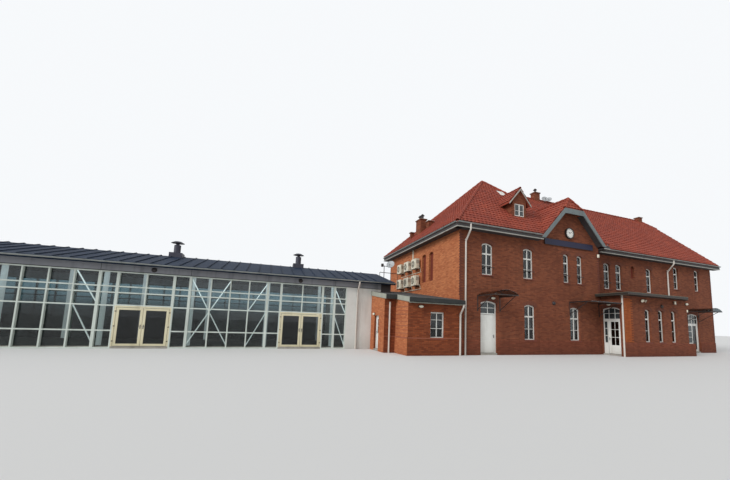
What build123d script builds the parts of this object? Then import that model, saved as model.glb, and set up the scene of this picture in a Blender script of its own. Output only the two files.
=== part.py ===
from build123d import *
from dataclasses import dataclass
import math
import os

# A brick railway station with a glazed side hall, modelled at half scale.
# X runs along the street front, Y into the building, Z up. Lengths are in millimetres.
# Plan positions are measured from the brick block's front left corner; the finished
# pieces are moved so that the origin lies on the ground under the middle of that block.

M = 500.0                               # one metre of the real building

# Brick block and wing
BLOCK_W = 11.1 * M                      # square block under a pyramid roof
WING_W = 14.75 * M                      # wing to the right of the block
SETBACK = 0.8 * M                       # wing front behind the block front
WALL = 0.44 * M                         # brick wall
STOREY = 3.5 * M                        # where the lower walls end and the upper ones start
EAVES = 7.08 * M                        # top of the upper walls
FLOOR_T = 0.25 * M                      # upper floor
SLAB_T = 0.1 * M                        # ground slab
SOFFIT_T = 0.12 * M                     # attic floor, which also closes the eaves
JOINT = 0.5                             # joint between neighbouring units of one kind
DEPTH = BLOCK_W
TOTAL_W = BLOCK_W + WING_W

# Main roof
OVERHANG = 0.47 * M                     # eaves beyond the walls
ROOF_T = 0.2 * M                        # roof slab, measured straight down
PITCH = 0.965                           # rise over run of the main slopes
END_CLIP = 0.94 * M                     # ridge end behind the clipped gable's edge
GABLE_X = BLOCK_W - 2.72 * M            # centre of the street gable
GABLE_PITCH = 1.08                      # rise over run of the gable slopes
GABLE_CLIP = 0.81 * M                   # half the width of the gable's clipped top
CLIP_DEPTH = 0.42 * M                   # plan depth of that clip
GABLE_RISE = 2.87 * M                   # gable ridge above the eaves edge
BOARD_T = 0.06 * M                      # bargeboard thickness
BOARD_H = 0.34 * M                      # bargeboard depth, measured straight down
BOARD_FOOT = 0.19 * M                   # bargeboard foot outside the valley
ROOF_Z = EAVES + SOFFIT_T + ROOF_T      # top of the roof at the eaves edge
PEAK = (BLOCK_W / 2, DEPTH / 2)
EAVE_L, EAVE_R = -OVERHANG, BLOCK_W + OVERHANG
EAVE_F, EAVE_B = -OVERHANG, DEPTH + OVERHANG
WING_EAVE = SETBACK - OVERHANG
RIDGE_Y = (SETBACK + DEPTH) / 2
VERGE_X = TOTAL_W + OVERHANG
RIDGE_END = VERGE_X - END_CLIP
GABLE_Z = ROOF_Z + GABLE_RISE
GABLE_HALF = GABLE_RISE / GABLE_PITCH
GABLE_BACK = EAVE_F + GABLE_RISE / PITCH

# Windows: centre along the wall, width, sill height, crown height
ARCH_RISE = 0.12 * M
REVEAL = 0.12 * M                       # frame set back from the wall face
FRAME_D = 0.08 * M
FRAME_W = 0.07 * M
GLASS_T = 0.02 * M
WINDOW_W = 0.8 * M
NARROW_W = 0.66 * M
UPPER = (STOREY + 1.09 * M, EAVES - 0.6 * M)
UPPER_HIGH = (STOREY + 1.6 * M, EAVES - 0.18 * M)
LOWER = (0.87 * M, STOREY - 0.5 * M)
PAIR = (GABLE_X - 0.3 * M, GABLE_X + 0.91 * M)     # the gable's two windows
BLOCK_UPPER = [(1.88 * M, WINDOW_W, *UPPER), (BLOCK_W / 2 - 0.63 * M, WINDOW_W, *UPPER),
               *((x, 0.52 * M, *UPPER) for x in PAIR)]
BLOCK_LOWER = [(BLOCK_W / 2 - 0.57 * M, 0.84 * M, *LOWER), (GABLE_X + 0.33 * M, 0.86 * M, *LOWER)]
WING_UPPER = [(BLOCK_W + 1.87 * M, NARROW_W, *UPPER), (BLOCK_W + 3.12 * M, NARROW_W, *UPPER),
              (BLOCK_W + 6.55 * M, NARROW_W, *UPPER), (TOTAL_W - 4.8 * M, NARROW_W, *UPPER_HIGH),
              (TOTAL_W - 2.0 * M, NARROW_W, *UPPER_HIGH)]
BACK_COUNT = 8
BACK_ROWS = [((i + 0.5) * TOTAL_W / BACK_COUNT, WINDOW_W, *row) for row in (LOWER, UPPER)
             for i in range(BACK_COUNT)]
END_PAIR = 2.4 * M                      # right wall's windows, each side of the ridge
END_ROWS = [(RIDGE_Y + side * END_PAIR, WINDOW_W, *row) for row in (LOWER, UPPER) for side in (-1, 1)]
NICHE_D = 0.14 * M                      # blind niches
WING_NICHE = (BLOCK_W + 4.67 * M, 0.4 * M, STOREY + 2.05 * M, EAVES - 0.58 * M)
SIDE_NICHES = [(DEPTH - y, 0.6 * M, STOREY + 0.98 * M, EAVES - 0.66 * M) for y in (4.56 * M, 3.5 * M)]

# Porch
PORCH_W = 6.5 * M
PORCH_D = 1.55 * M
PORCH_WALL = 0.28 * M
PORCH_TOP = STOREY + 0.35 * M
PORCH_ROOF_T = 0.15 * M
PORCH_OVERHANG = 0.65 * M               # over the front
PORCH_SIDE = 0.5 * M                    # over the entrance
PORCH_CLIP = (1.0 * M, 0.6 * M)         # cut corner of the roof, along and across the front
PORCH_STEP = 1.36 * M                   # from one window to the next
PORCH_WINDOWS = [(BLOCK_W + PORCH_W / 2 + 0.37 * M + i * PORCH_STEP, 0.56 * M, 0.9 * M, STOREY - 0.45 * M)
                 for i in (-1, 0, 1)]
PASSAGE = (BLOCK_W + 1.1 * M, BLOCK_W + PORCH_W - 1.0 * M, STOREY - 0.5 * M)  # into the wing

# Hinged doors: centre, width and arch crown of each doorway
SIDE_DOOR = (1.97 * M, 1.14 * M, STOREY - 0.43 * M)
ENTRANCE = ((PORCH_D - PORCH_WALL) / 2 + 0.04 * M, PORCH_D - PORCH_WALL - 0.09 * M, STOREY - 0.38 * M)
RIGHT_DOOR = (TOTAL_W - 2.87 * M, 1.5 * M, STOREY - 0.35 * M)
ANNEX_DOOR = (1.1 * M, 0.8 * M, 2.05 * M)
LEAF_HEAD = 2.3 * M
ANNEX_LEAF_HEAD = 1.97 * M
DOOR_FRAME_W = 0.07 * M
SIDELIGHT = 0.22 * M                    # fixed light beside the entrance leaf
RIGHT_SIDELIGHT = 0.62 * M              # fixed light beside the right-hand leaf
DOOR_GAP = 8.0                          # clear gap round a leaf
LEAF_T = 0.06 * M
LEAF_RAIL = 0.11 * M
LEAF_KICK = 0.55 * M                    # solid panel at the foot of a glazed leaf
HINGE_R = 0.01 * M
HINGE_H = 0.05 * M                      # one knuckle of a lift-off hinge
HINGE_GAP = 0.3                         # between the two knuckles
FLAP_W = 0.05 * M
FLAP_T = 0.004 * M

# Glazed hall
HALL_DEPTH = 7.1 * M
HALL_BAY = 3.79 * M
HALL_BAYS = 5
HALL_END_PANEL = 0.73 * M
HALL_WHITE = 1.6 * M                    # white wall beside the annex
HALL_WALL = 0.3 * M
HALL_GLASS_TOP = 3.72 * M
FASCIA_H = 0.4 * M
HALL_DOOR_HEAD = 2.05 * M
HALL_SIDE_PANEL = 0.72 * M              # panel each side of a double door
TRANSOMS = [0.85 * M, HALL_DOOR_HEAD, HALL_GLASS_TOP - 1.04 * M, HALL_GLASS_TOP - 0.74 * M]
BAR_W = 0.06 * M
BAR_D = 0.14 * M
HALL_PITCH = 0.27
HALL_ROOF_T = 0.16 * M
HALL_OVERHANG = 0.42 * M
HALL_COLUMN_R = 0.11 * M
HALL_COLUMN_IN = 0.75 * M
DOOR_BAYS = (0, 2)                      # bays with a double door, counted from the annex
BRACE_W = 0.05 * M
VENTS = (0.52, 2.41)                    # ventilators, in bays from the annex
VENT_R = 0.18 * M
VENT_H = 0.7 * M
VENT_NECK = 0.13 * M                    # gap under the rain cap
VENT_CAP = 0.1 * M
VENT_BASE = (1.9 * VENT_R, 0.2 * M)     # half width and height of the base
HALL_BACK = DEPTH
HALL_FRONT = HALL_BACK - HALL_DEPTH
HALL_MIDDLE = (HALL_FRONT + HALL_BACK) / 2
HALL_EAVES = HALL_GLASS_TOP + FASCIA_H

# Brick annex, between the hall and the block
ANNEX_W = 3.17 * M
ANNEX_STEP_W = 3.85 * M
ANNEX_FRONT = -0.16 * M
ANNEX_STEP = 1.56 * M
ANNEX_BACK = HALL_FRONT + 2.6 * M
ANNEX_WALL = 0.3 * M
ANNEX_EAVE = 2.78 * M                   # wall top at the street wall
ANNEX_PITCH = 0.13
ANNEX_ROOF_T = 0.24 * M
ANNEX_OVERHANG = 0.3 * M                # over the street and platform walls
ANNEX_VERGE = 0.04 * M                  # over the side walls
ANNEX_WINDOW = (0.135 * M - ANNEX_W / 2, 0.84 * M, 0.9 * M, 2.28 * M)
HALL_X1 = -ANNEX_STEP_W - HALL_WHITE
HALL_X0 = HALL_X1 - HALL_END_PANEL - HALL_BAYS * HALL_BAY
HALL_ROOF_X1 = -ANNEX_STEP_W + 1.4 * M   # hall roof end, over the annex
HALL_RETURN_X1 = -ANNEX_STEP_W + 0.58 * M   # end of the hall wall that runs on over the annex roof
SCREEN_IN = 0.16 * M                    # dark screen behind the hall's wall face
SCREEN_T = 0.1 * M

# Dormer, roof window and chimneys
DORMER_X = BLOCK_W / 2 - 0.4 * M
DORMER_W = 1.1 * M
DORMER_FACE = 0.96 * M
DORMER_RIDGE = ROOF_Z + 3.4 * M
DORMER_HALF = 0.87 * M                  # half the span of its roof
DORMER_PITCH = 1.2
DORMER_DEEP = 3.0 * M                   # long enough to run into the slope
DORMER_OUT = 0.12 * M                   # roof beyond the face
DORMER_WALL = 0.1 * M
DORMER_T = 0.1 * M
PANES_W = 0.78 * M                      # the dormer's window
PANES_Z = (ROOF_Z + 1.48 * M, ROOF_Z + 2.32 * M)
PANES_IN = 0.03 * M
PANES_D = 0.05 * M
PANES_BAR = 0.06 * M
SKYLIGHT_W = 0.55 * M
SKYLIGHT_L = 0.78 * M                   # along the slope
SKYLIGHT_H = 0.09 * M
SKYLIGHT = (BLOCK_W / 2 + 0.65 * M, PEAK[1] - 1.6 * M)
LEFT_STACKS = [(0.95 * M, DEPTH - 4.0 * M, 0.5 * M, 0.85 * M, 0.98 * M),   # centre, size and rise
               (1.2 * M, DEPTH - 5.0 * M, 0.4 * M, 0.4 * M, 0.4 * M),
               (0.75 * M, DEPTH - 2.7 * M, 0.26 * M, 0.26 * M, 0.46 * M)]
RIDGE_STACKS = [(BLOCK_W + 0.36 * M, RIDGE_Y, 0.56 * M, 0.5 * M, 0.58 * M),
                (TOTAL_W - 0.75 * M, RIDGE_Y, 0.5 * M, 0.45 * M, 0.36 * M)]
CAP_T = 0.05 * M
COWL_R = 0.13 * M
COWL_STEP = 0.2 * M                     # two cowls on the largest stack, each side of its centre
COWL_H = 0.38 * M

# Gutters and downpipes
GUTTER_R = 0.065 * M
GUTTER_WALL = 0.012 * M
GUTTER_DROP = 0.04 * M                  # gutter edge below the roof edge
ANNEX_GUTTER_DROP = 0.1 * M
PIPE_R = 0.05 * M
PIPE_OFF = 0.3                          # pipe to wall
NECK_H = 0.3 * M                        # downpipe below a gutter before it turns back
SHORT_NECK_H = 0.1 * M
ANNEX_NECK_H = 0.22 * M
CORNER_PIPE_X = 0.36 * M
WING_PIPE_X = TOTAL_W - 5.95 * M
ANNEX_PIPE_X = -0.07 * M
STEP_PIPE_X = -ANNEX_W - 0.38 * M
STEP_PIPE_DROP = 0.2 * M
HALL_PIPE_X = HALL_X1 + 0.65 * M

# Clock, air conditioners and canopies
CLOCK_R = 0.36 * M
CLOCK_T = 0.12 * M
CLOCK_Z = EAVES + 0.82 * M
AC_W = 0.8 * M
AC_D = 0.28 * M
AC_H = 0.7 * M
AC_ROUND = 0.02 * M
AC_Y0 = 5.425 * M
AC_STEP = 1.375 * M
AC_ZS = (STOREY + 0.82 * M, STOREY + 2.02 * M)
AC_OFF = 0.12 * M                       # unit back to wall
AC_ARM = 0.04 * M
AC_ARM_H = 0.3 * M
CANOPY_Z = STOREY - 0.2 * M
CANOPY_D = 1.55 * M
CANOPY_HALF = 0.8 * M                   # barrel canopies
CANOPY_RISE = 0.26 * M
CANOPY_T = 0.02 * M
CANOPY_STRUT = 0.75 * M                 # strut foot below the arm
CANOPY_PLATE = 0.85 * M
ARM_W = 0.05 * M
GLASS_CANOPY = (GABLE_X - 0.13 * M, BLOCK_W - 0.15 * M)
BARRELS = [(SIDE_DOOR[0], 0.0), (RIGHT_DOOR[0], SETBACK)]

ORIGIN = Pos(-BLOCK_W / 2, -DEPTH / 2, 0)

# Each wall's own frame: X along it as seen from outside, Y inwards
FRONT = Pos(0, 0, 0)
WING = Pos(0, SETBACK, 0)
BACK = Pos(TOTAL_W, DEPTH, 0) * Rot(0, 0, 180)
RIGHT = Pos(TOTAL_W, 0, 0) * Rot(0, 0, 90)
LEFT = Pos(0, DEPTH, 0) * Rot(0, 0, -90)
PORCH = Pos(0, -PORCH_D, 0)
PORCH_LEFT = Pos(BLOCK_W, 0, 0) * Rot(0, 0, -90)
ANNEX = Pos(0, ANNEX_FRONT, 0)
ANNEX_LEFT = Pos(-ANNEX_STEP_W, HALL_FRONT, 0) * Rot(0, 0, -90)
HALL = Pos(0, HALL_FRONT, 0)


def block(x0, x1, y0, y1, z0, z1):
    """Box between two corners."""
    return Pos((x0 + x1) / 2, (y0 + y1) / 2, (z0 + z1) / 2) * Box(x1 - x0, y1 - y0, z1 - z0)


def upright(points, y0, y1):
    """Outline in X and Z, made solid from y0 to y1."""
    face = make_face(Polyline(*[(x, y0, z) for x, z in points], close=True))
    return extrude(face, amount=y1 - y0, dir=(0, 1, 0))


def arched(x, width, low, crown, y0, y1):
    """Opening with a segmental arch, made solid from y0 to y1."""
    x0, x1, spring = x - width / 2, x + width / 2, crown - ARCH_RISE
    outline = [Line((x0, y0, spring), (x0, y0, low)), Line((x0, y0, low), (x1, y0, low)),
               Line((x1, y0, low), (x1, y0, spring)),
               ThreePointArc((x1, y0, spring), (x, y0, crown), (x0, y0, spring))]
    return extrude(make_face(outline), amount=y1 - y0, dir=(0, 1, 0))


def pierced(wall, openings, thickness):
    """Wall with its arched openings cut through."""
    for x, width, low, crown in openings:
        wall -= arched(x, width, low, crown, -1, thickness + 1)
    return wall


def window_frame(x, width, low, crown):
    """Window frame that fills its opening, with a transom and a mullion."""
    y0, y1 = REVEAL, REVEAL + FRAME_D
    frame = arched(x, width, low, crown, y0, y1)
    frame -= arched(x, width - 2 * FRAME_W, low + FRAME_W, crown - FRAME_W, y0 - 1, y1 + 1)
    return frame


def window_glass(x, width, low, crown):
    """Pane inside a window frame."""
    y0 = REVEAL + (FRAME_D - GLASS_T) / 2
    return arched(x, width - 2 * FRAME_W, low + FRAME_W, crown - FRAME_W, y0, y0 + GLASS_T)


def sloped(points, height, thickness):
    """Slab under a plan outline, with height(x, y) as its top."""
    top = make_face(Polyline(*[(x, y, height(x, y)) for x, y in points], close=True))
    return extrude(top, amount=thickness, dir=(0, 0, -1))


def channel(length):
    """Half-round gutter along X, its top at z = 0 and its axis at y = 0."""
    ring = Circle(GUTTER_R) - Circle(GUTTER_R - GUTTER_WALL)
    half = ring & Pos(0, -GUTTER_R) * Rectangle(2 * GUTTER_R, 2 * GUTTER_R)
    return extrude(Plane.YZ * half, amount=length)


def pipe(points, radius):
    """Round pipe along a path with bent corners."""
    bend = 2.2 * radius
    path = FilletPolyline(*points, radius=bend) if len(points) > 2 else Line(*points)
    return sweep(Plane(origin=path @ 0, z_dir=path % 0) * Circle(radius), path=path)


def solids(*shapes):
    """The separate solids of several shapes, as one sub-part."""
    return Compound(children=[solid for shape in shapes for solid in shape.solids()])


# Height of each roof plane over a point of the plan
def street_height(x, y):
    return ROOF_Z + PITCH * (y - EAVE_F)


def wing_height(x, y):
    return ROOF_Z + PITCH * (y - WING_EAVE)


def back_height(x, y):
    return ROOF_Z + PITCH * (EAVE_B - y)


def left_height(x, y):
    return ROOF_Z + PITCH * (x - EAVE_L)


def right_height(x, y):
    return ROOF_Z + PITCH * (EAVE_R - x)


def end_height(x, y):
    return wing_height(0, RIDGE_Y) - PITCH * (x - RIDGE_END)


def gable_height(x, y):
    return GABLE_Z - GABLE_PITCH * abs(x - GABLE_X)


def gable_clip_height(x, y):
    return GABLE_Z - GABLE_PITCH * GABLE_CLIP / CLIP_DEPTH * (EAVE_F + CLIP_DEPTH - y)


def street_slopes():
    left, right = GABLE_X - GABLE_HALF, GABLE_X + GABLE_HALF
    block_plan = [(EAVE_L, EAVE_F), (left, EAVE_F), (GABLE_X, GABLE_BACK),
                  (right, EAVE_F), (EAVE_R, EAVE_F), PEAK]
    slope = sloped(block_plan, street_height, ROOF_T)
    hole = DORMER_W / 2 - 2 * DORMER_WALL
    y0 = DORMER_FACE + 2 * DORMER_WALL
    slope -= block(DORMER_X - hole, DORMER_X + hole, y0, GABLE_BACK, EAVES, GABLE_Z)
    wing_plan = [(EAVE_R, WING_EAVE), (VERGE_X, WING_EAVE), (VERGE_X, RIDGE_Y - END_CLIP),
                 (RIDGE_END, RIDGE_Y), (RIDGE_Y, RIDGE_Y)]
    return solids(slope, sloped(wing_plan, wing_height, ROOF_T))


def platform_slope():
    plan = [(EAVE_L, EAVE_B), PEAK, (RIDGE_Y, RIDGE_Y), (RIDGE_END, RIDGE_Y),
            (VERGE_X, RIDGE_Y + END_CLIP), (VERGE_X, EAVE_B)]
    return sloped(plan, back_height, ROOF_T)


def end_slopes():
    left = [(EAVE_L, EAVE_F), PEAK, (EAVE_L, EAVE_B)]
    right = [(RIDGE_END, RIDGE_Y), (VERGE_X, RIDGE_Y - END_CLIP), (VERGE_X, RIDGE_Y + END_CLIP)]
    return solids(sloped(left, left_height, ROOF_T), sloped(right, end_height, ROOF_T))


def peak_slope():
    plan = [PEAK, (EAVE_R, EAVE_F), (EAVE_R, WING_EAVE), (RIDGE_Y, RIDGE_Y)]
    return sloped(plan, right_height, ROOF_T)


def gable_roof():
    ridge_front = EAVE_F + CLIP_DEPTH
    top, back = (GABLE_X, ridge_front), (GABLE_X, GABLE_BACK)
    roof = None
    for side in (-1, 1):
        plan = [top, (GABLE_X + side * GABLE_CLIP, EAVE_F), (GABLE_X + side * GABLE_HALF, EAVE_F), back]
        slope = sloped(plan, gable_height, ROOF_T)
        roof = slope if roof is None else roof + slope
    clip = [(GABLE_X - GABLE_CLIP, EAVE_F), (GABLE_X + GABLE_CLIP, EAVE_F), top]
    return roof + sloped(clip, gable_clip_height, ROOF_T)


def gable_outline(half, foot_z, drop):
    """Clipped gable outline in X and Z, lowered by drop."""
    clip_z = GABLE_Z - GABLE_PITCH * GABLE_CLIP - drop
    points = [(GABLE_X - half, foot_z), (GABLE_X - GABLE_CLIP, clip_z),
              (GABLE_X + GABLE_CLIP, clip_z), (GABLE_X + half, foot_z)]
    return points


def bargeboards():
    half = GABLE_HALF + BOARD_FOOT
    foot = GABLE_Z - GABLE_PITCH * half
    inner = half - BOARD_H / GABLE_PITCH
    y0, y1 = EAVE_F - BOARD_T, EAVE_F
    board = upright(gable_outline(half, foot, 0), y0, y1)
    board -= upright(gable_outline(inner, foot - 0.01, BOARD_H), y0 - 1, y1 + 1)
    low, high = wing_height(0, WING_EAVE), end_height(VERGE_X, 0)
    near, far = WING_EAVE, EAVE_B
    outline = [(near, low), (RIDGE_Y - END_CLIP, high), (RIDGE_Y + END_CLIP, high), (far, low),
               (far - BOARD_H / PITCH, low), (RIDGE_Y + END_CLIP, high - BOARD_H),
               (RIDGE_Y - END_CLIP, high - BOARD_H), (near + BOARD_H / PITCH, low)]
    end = Pos(VERGE_X + BOARD_T, 0, 0) * Rot(0, 0, 90) * upright(outline, 0, BOARD_T)
    return solids(board, end)


# Brick block and wing
def front_wall_lower():
    x, width, crown = SIDE_DOOR
    left = block(0, x - width / 2, 0, WALL, 0, STOREY)
    right = pierced(block(x + width / 2, BLOCK_W, 0, WALL, 0, STOREY), BLOCK_LOWER, WALL)
    return solids(left, right)


def front_wall_upper():
    wall = block(0, BLOCK_W, 0, WALL, STOREY, EAVES)
    foot_half = (GABLE_Z - ROOF_T - EAVES) / GABLE_PITCH
    field = upright([(GABLE_X - foot_half, EAVES), (GABLE_X + foot_half, EAVES), (GABLE_X, GABLE_Z - ROOF_T)],
                    0, WALL)
    return pierced(wall + field, BLOCK_UPPER, WALL)


def door_arches():
    arches = []
    for place, (x, width, crown), top, thickness in (
            (FRONT, SIDE_DOOR, STOREY, WALL), (PORCH_LEFT, ENTRANCE, PORCH_TOP, PORCH_WALL),
            (WING, RIGHT_DOOR, STOREY, WALL)):
        arch = block(x - width / 2, x + width / 2, 0, thickness, crown - ARCH_RISE, top)
        arches.append(place * (arch - arched(x, width, 0, crown, -1, thickness + 1)))
    x, width, head = ANNEX_DOOR
    wall_y = HALL_FRONT - x
    lintel = sloped([(-ANNEX_STEP_W, wall_y - width / 2), (-ANNEX_STEP_W + ANNEX_WALL, wall_y - width / 2),
                     (-ANNEX_STEP_W + ANNEX_WALL, wall_y + width / 2), (-ANNEX_STEP_W, wall_y + width / 2)],
                    annex_wall_height, ANNEX_EAVE)
    arches.append(lintel & block(-2 * ANNEX_STEP_W, 0, 0, HALL_BACK, head, PORCH_TOP))
    left, right, head = PASSAGE
    arches.append(WING * block(left, right, 0, WALL, head, STOREY))
    return solids(*arches)


def doorsteps():
    steps = []
    for place, (x, width, _), thickness in (
            (FRONT, SIDE_DOOR, WALL), (PORCH_LEFT, ENTRANCE, PORCH_WALL),
            (WING, RIGHT_DOOR, WALL), (ANNEX_LEFT, ANNEX_DOOR, ANNEX_WALL)):
        steps.append(place * block(x - width / 2, x + width / 2, 0, thickness, 0, SLAB_T))
    for x0, x1 in hall_doorways():
        steps.append(HALL * block(x0, x1, 0, BAR_D, 0, SLAB_T))
    return solids(*steps)


def left_wall():
    wall = block(WALL, DEPTH - WALL, 0, WALL, 0, EAVES)
    for x, width, low, crown in SIDE_NICHES:
        wall -= arched(x, width, low, crown, -1, NICHE_D)
    return LEFT * wall


def right_wall():
    low, high = back_height(0, DEPTH) - ROOF_T, end_height(VERGE_X, 0) - ROOF_T
    outline = [(SETBACK, 0), (SETBACK, low), (RIDGE_Y - END_CLIP, high),
               (RIDGE_Y + END_CLIP, high), (DEPTH, low), (DEPTH, 0)]
    return RIGHT * pierced(upright(outline, 0, WALL), END_ROWS, WALL)


def back_wall():
    return BACK * pierced(block(WALL, TOTAL_W, 0, WALL, 0, EAVES), BACK_ROWS, WALL)


def wing_wall_lower():
    x, width, crown = RIGHT_DOOR
    left, right, head = PASSAGE
    pier = block(BLOCK_W, left, 0, WALL, 0, STOREY)
    middle = block(right, x - width / 2, 0, WALL, 0, STOREY)
    end = block(x + width / 2, TOTAL_W - WALL, 0, WALL, 0, STOREY)
    return WING * solids(pier, middle, end)


def wing_wall_upper():
    wall = pierced(block(BLOCK_W, TOTAL_W - WALL, 0, WALL, STOREY, EAVES), WING_UPPER, WALL)
    x, width, low, crown = WING_NICHE
    return WING * (wall - arched(x, width, low, crown, -1, NICHE_D))


def return_wall():
    return block(BLOCK_W - WALL, BLOCK_W, WALL, SETBACK + WALL, 0, EAVES)


def upper_floor():
    floor = block(WALL, BLOCK_W - WALL, WALL, DEPTH - WALL, STOREY, STOREY + FLOOR_T)
    return floor + block(BLOCK_W - WALL, TOTAL_W - WALL, SETBACK + WALL, DEPTH - WALL,
                         STOREY, STOREY + FLOOR_T)


def attic_floor():
    z0, z1 = EAVES, EAVES + SOFFIT_T
    slab = block(EAVE_L, EAVE_R, EAVE_F, EAVE_B, z0, z1)
    slab += block(EAVE_R, VERGE_X, WING_EAVE, EAVE_B, z0, z1)
    slab -= block(TOTAL_W - WALL, VERGE_X + 1, SETBACK, DEPTH, z0 - 1, z1 + 1)
    foot_half = (GABLE_Z - ROOF_T - EAVES) / GABLE_PITCH
    return slab - block(GABLE_X - foot_half, GABLE_X + foot_half, EAVE_F - 1, WALL, z0 - 1, z1 + 1)


def ground_floors():
    c = JOINT / 2
    main = block(WALL, BLOCK_W - WALL, WALL, DEPTH - WALL, 0, SLAB_T)
    main += block(BLOCK_W - WALL, TOTAL_W - WALL, SETBACK + WALL, DEPTH - WALL, 0, SLAB_T)
    left, right, head = PASSAGE
    x, width, crown = ENTRANCE
    porch = block(BLOCK_W + PORCH_WALL, BLOCK_W + PORCH_W - PORCH_WALL, PORCH_WALL - PORCH_D,
                  SETBACK, 0, SLAB_T)
    porch += block(left, right, SETBACK, SETBACK + WALL - c, 0, SLAB_T)
    inner = -ANNEX_STEP_W + ANNEX_WALL
    annex = block(inner, -c, ANNEX_STEP + ANNEX_WALL, ANNEX_BACK, 0, SLAB_T)
    annex += block(ANNEX_WALL - ANNEX_W, -c, ANNEX_FRONT + ANNEX_WALL, ANNEX_STEP + ANNEX_WALL, 0, SLAB_T)
    hall = block(HALL_X0, -ANNEX_STEP_W - HALL_WALL, HALL_FRONT + BAR_D, HALL_BACK - BAR_D, 0, SLAB_T)
    return solids(main, porch, annex, hall)


# Porch
def porch_walls():
    front = block(BLOCK_W, BLOCK_W + PORCH_W, 0, PORCH_WALL, 0, PORCH_TOP)
    front = PORCH * pierced(front, PORCH_WINDOWS, PORCH_WALL)
    c = JOINT / 2
    x1 = BLOCK_W + PORCH_W
    side = block(x1 - PORCH_WALL, x1, PORCH_WALL - PORCH_D + c, SETBACK, 0, PORCH_TOP)
    return solids(front, side)


def porch_roof():
    """Flat roof that shelters the entrance, with its right front corner cut off."""
    front, right = -PORCH_D - PORCH_OVERHANG, BLOCK_W + PORCH_W
    along, across = PORCH_CLIP
    plan = [(BLOCK_W - PORCH_SIDE, 0), (BLOCK_W - PORCH_SIDE, front), (right - along, front),
            (right, front + across), (right, SETBACK), (BLOCK_W, SETBACK), (BLOCK_W, 0)]
    return sloped(plan, lambda x, y: PORCH_TOP + PORCH_ROOF_T, PORCH_ROOF_T)


# Brick annex
def annex_wall_height(x, y):
    return ANNEX_EAVE + ANNEX_PITCH * (y - ANNEX_FRONT)


def annex_wall(x0, x1, y0, y1):
    plan = [(x0, y0), (x1, y0), (x1, y1), (x0, y1)]
    top = sloped(plan, annex_wall_height, PORCH_TOP)
    return top & block(x0, x1, y0, y1, 0, 2 * PORCH_TOP)


def annex_walls():
    c, t = JOINT / 2, ANNEX_WALL
    front = annex_wall(-ANNEX_W, 0, ANNEX_FRONT, ANNEX_FRONT + t)
    x, width, low, crown = ANNEX_WINDOW
    front -= block(x - width / 2, x + width / 2, ANNEX_FRONT - 1, ANNEX_FRONT + t + 1, low, crown)
    left = annex_wall(-ANNEX_W, t - ANNEX_W, ANNEX_FRONT + t + c, ANNEX_STEP - c)
    step = annex_wall(-ANNEX_STEP_W, t - ANNEX_W, ANNEX_STEP, ANNEX_STEP + t)
    x, width, head = ANNEX_DOOR
    near, far = HALL_FRONT - x - width / 2, HALL_FRONT - x + width / 2
    outer, inner = -ANNEX_STEP_W, t - ANNEX_STEP_W
    beside = annex_wall(outer, inner, ANNEX_STEP + t + c, near)
    beyond = annex_wall(outer, inner, far, HALL_FRONT)
    back = annex_wall(-ANNEX_STEP_W, -c, ANNEX_BACK, ANNEX_BACK + t)
    return solids(front, left, step, beside, beyond, back)


def annex_roof_height(x, y):
    return annex_wall_height(x, y) + ANNEX_ROOF_T


def annex_roof():
    out, side = ANNEX_OVERHANG, ANNEX_VERGE
    near, far = ANNEX_FRONT - out, ANNEX_BACK + ANNEX_WALL + out
    plan = [(-ANNEX_W - side, near), (0, near), (0, far), (-ANNEX_STEP_W, far), (-ANNEX_STEP_W, HALL_FRONT),
            (-ANNEX_STEP_W - side, HALL_FRONT), (-ANNEX_STEP_W - side, ANNEX_STEP - out),
            (-ANNEX_W - side, ANNEX_STEP - out)]
    return sloped(plan, annex_roof_height, ANNEX_ROOF_T)


# Windows
def square_frame(x, width, low, head):
    frame = block(x - width / 2, x + width / 2, REVEAL, REVEAL + FRAME_D, low, head)
    w = FRAME_W
    return frame - block(x - width / 2 + w, x + width / 2 - w, 0, WALL, low + w, head - w)


def square_glass(x, width, low, head):
    y0, w = REVEAL + (FRAME_D - GLASS_T) / 2, FRAME_W
    return block(x - width / 2 + w, x + width / 2 - w, y0, y0 + GLASS_T, low + w, head - w)


def window_pieces(make, make_square):
    """One piece for every window of the building."""
    rows = [(FRONT, BLOCK_UPPER + BLOCK_LOWER), (WING, WING_UPPER),
            (PORCH, PORCH_WINDOWS), (BACK, BACK_ROWS), (RIGHT, END_ROWS)]
    pieces = [place * make(*opening) for place, openings in rows for opening in openings]
    return pieces + [ANNEX * make_square(*ANNEX_WINDOW)]


# Fixed door frames: a leaf opening from x0 to x1, beside and under fixed lights
def door_frame(x, width, crown, leaf_x0, leaf_x1, y0, arch=True):
    """Frame with its fixed lights closed by thin panes and the leaf's opening left free."""
    y1 = y0 + FRAME_D
    w = DOOR_FRAME_W
    outer = arched(x, width, SLAB_T, crown, y0, y1) if arch else block(
        x - width / 2, x + width / 2, y0, y1, SLAB_T, crown)
    head = LEAF_HEAD if arch else ANNEX_LEAF_HEAD
    frame = outer - block(leaf_x0, leaf_x1, y0 - 1, y1 + 1, -1, head)
    if arch:
        light = arched(x, width - 2 * w, head + w, crown - w, y0 - 1, y1 + 1)
        frame -= light
        frame += arched(x, width - 2 * w, head + w, crown - w, y0 + w / 2, y0 + w / 2 + GLASS_T)
    return frame


def leaf_span(opening, sidelight=0.0, sidelight_left=True):
    """Leaf opening between the jambs, beside a fixed light if there is one."""
    x, width = opening[0], opening[1]
    x0, x1 = x - width / 2 + DOOR_FRAME_W, x + width / 2 - DOOR_FRAME_W
    if sidelight and sidelight_left:
        return x0 + sidelight, x1
    return (x0, x1 - sidelight) if sidelight else (x0, x1)


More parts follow.
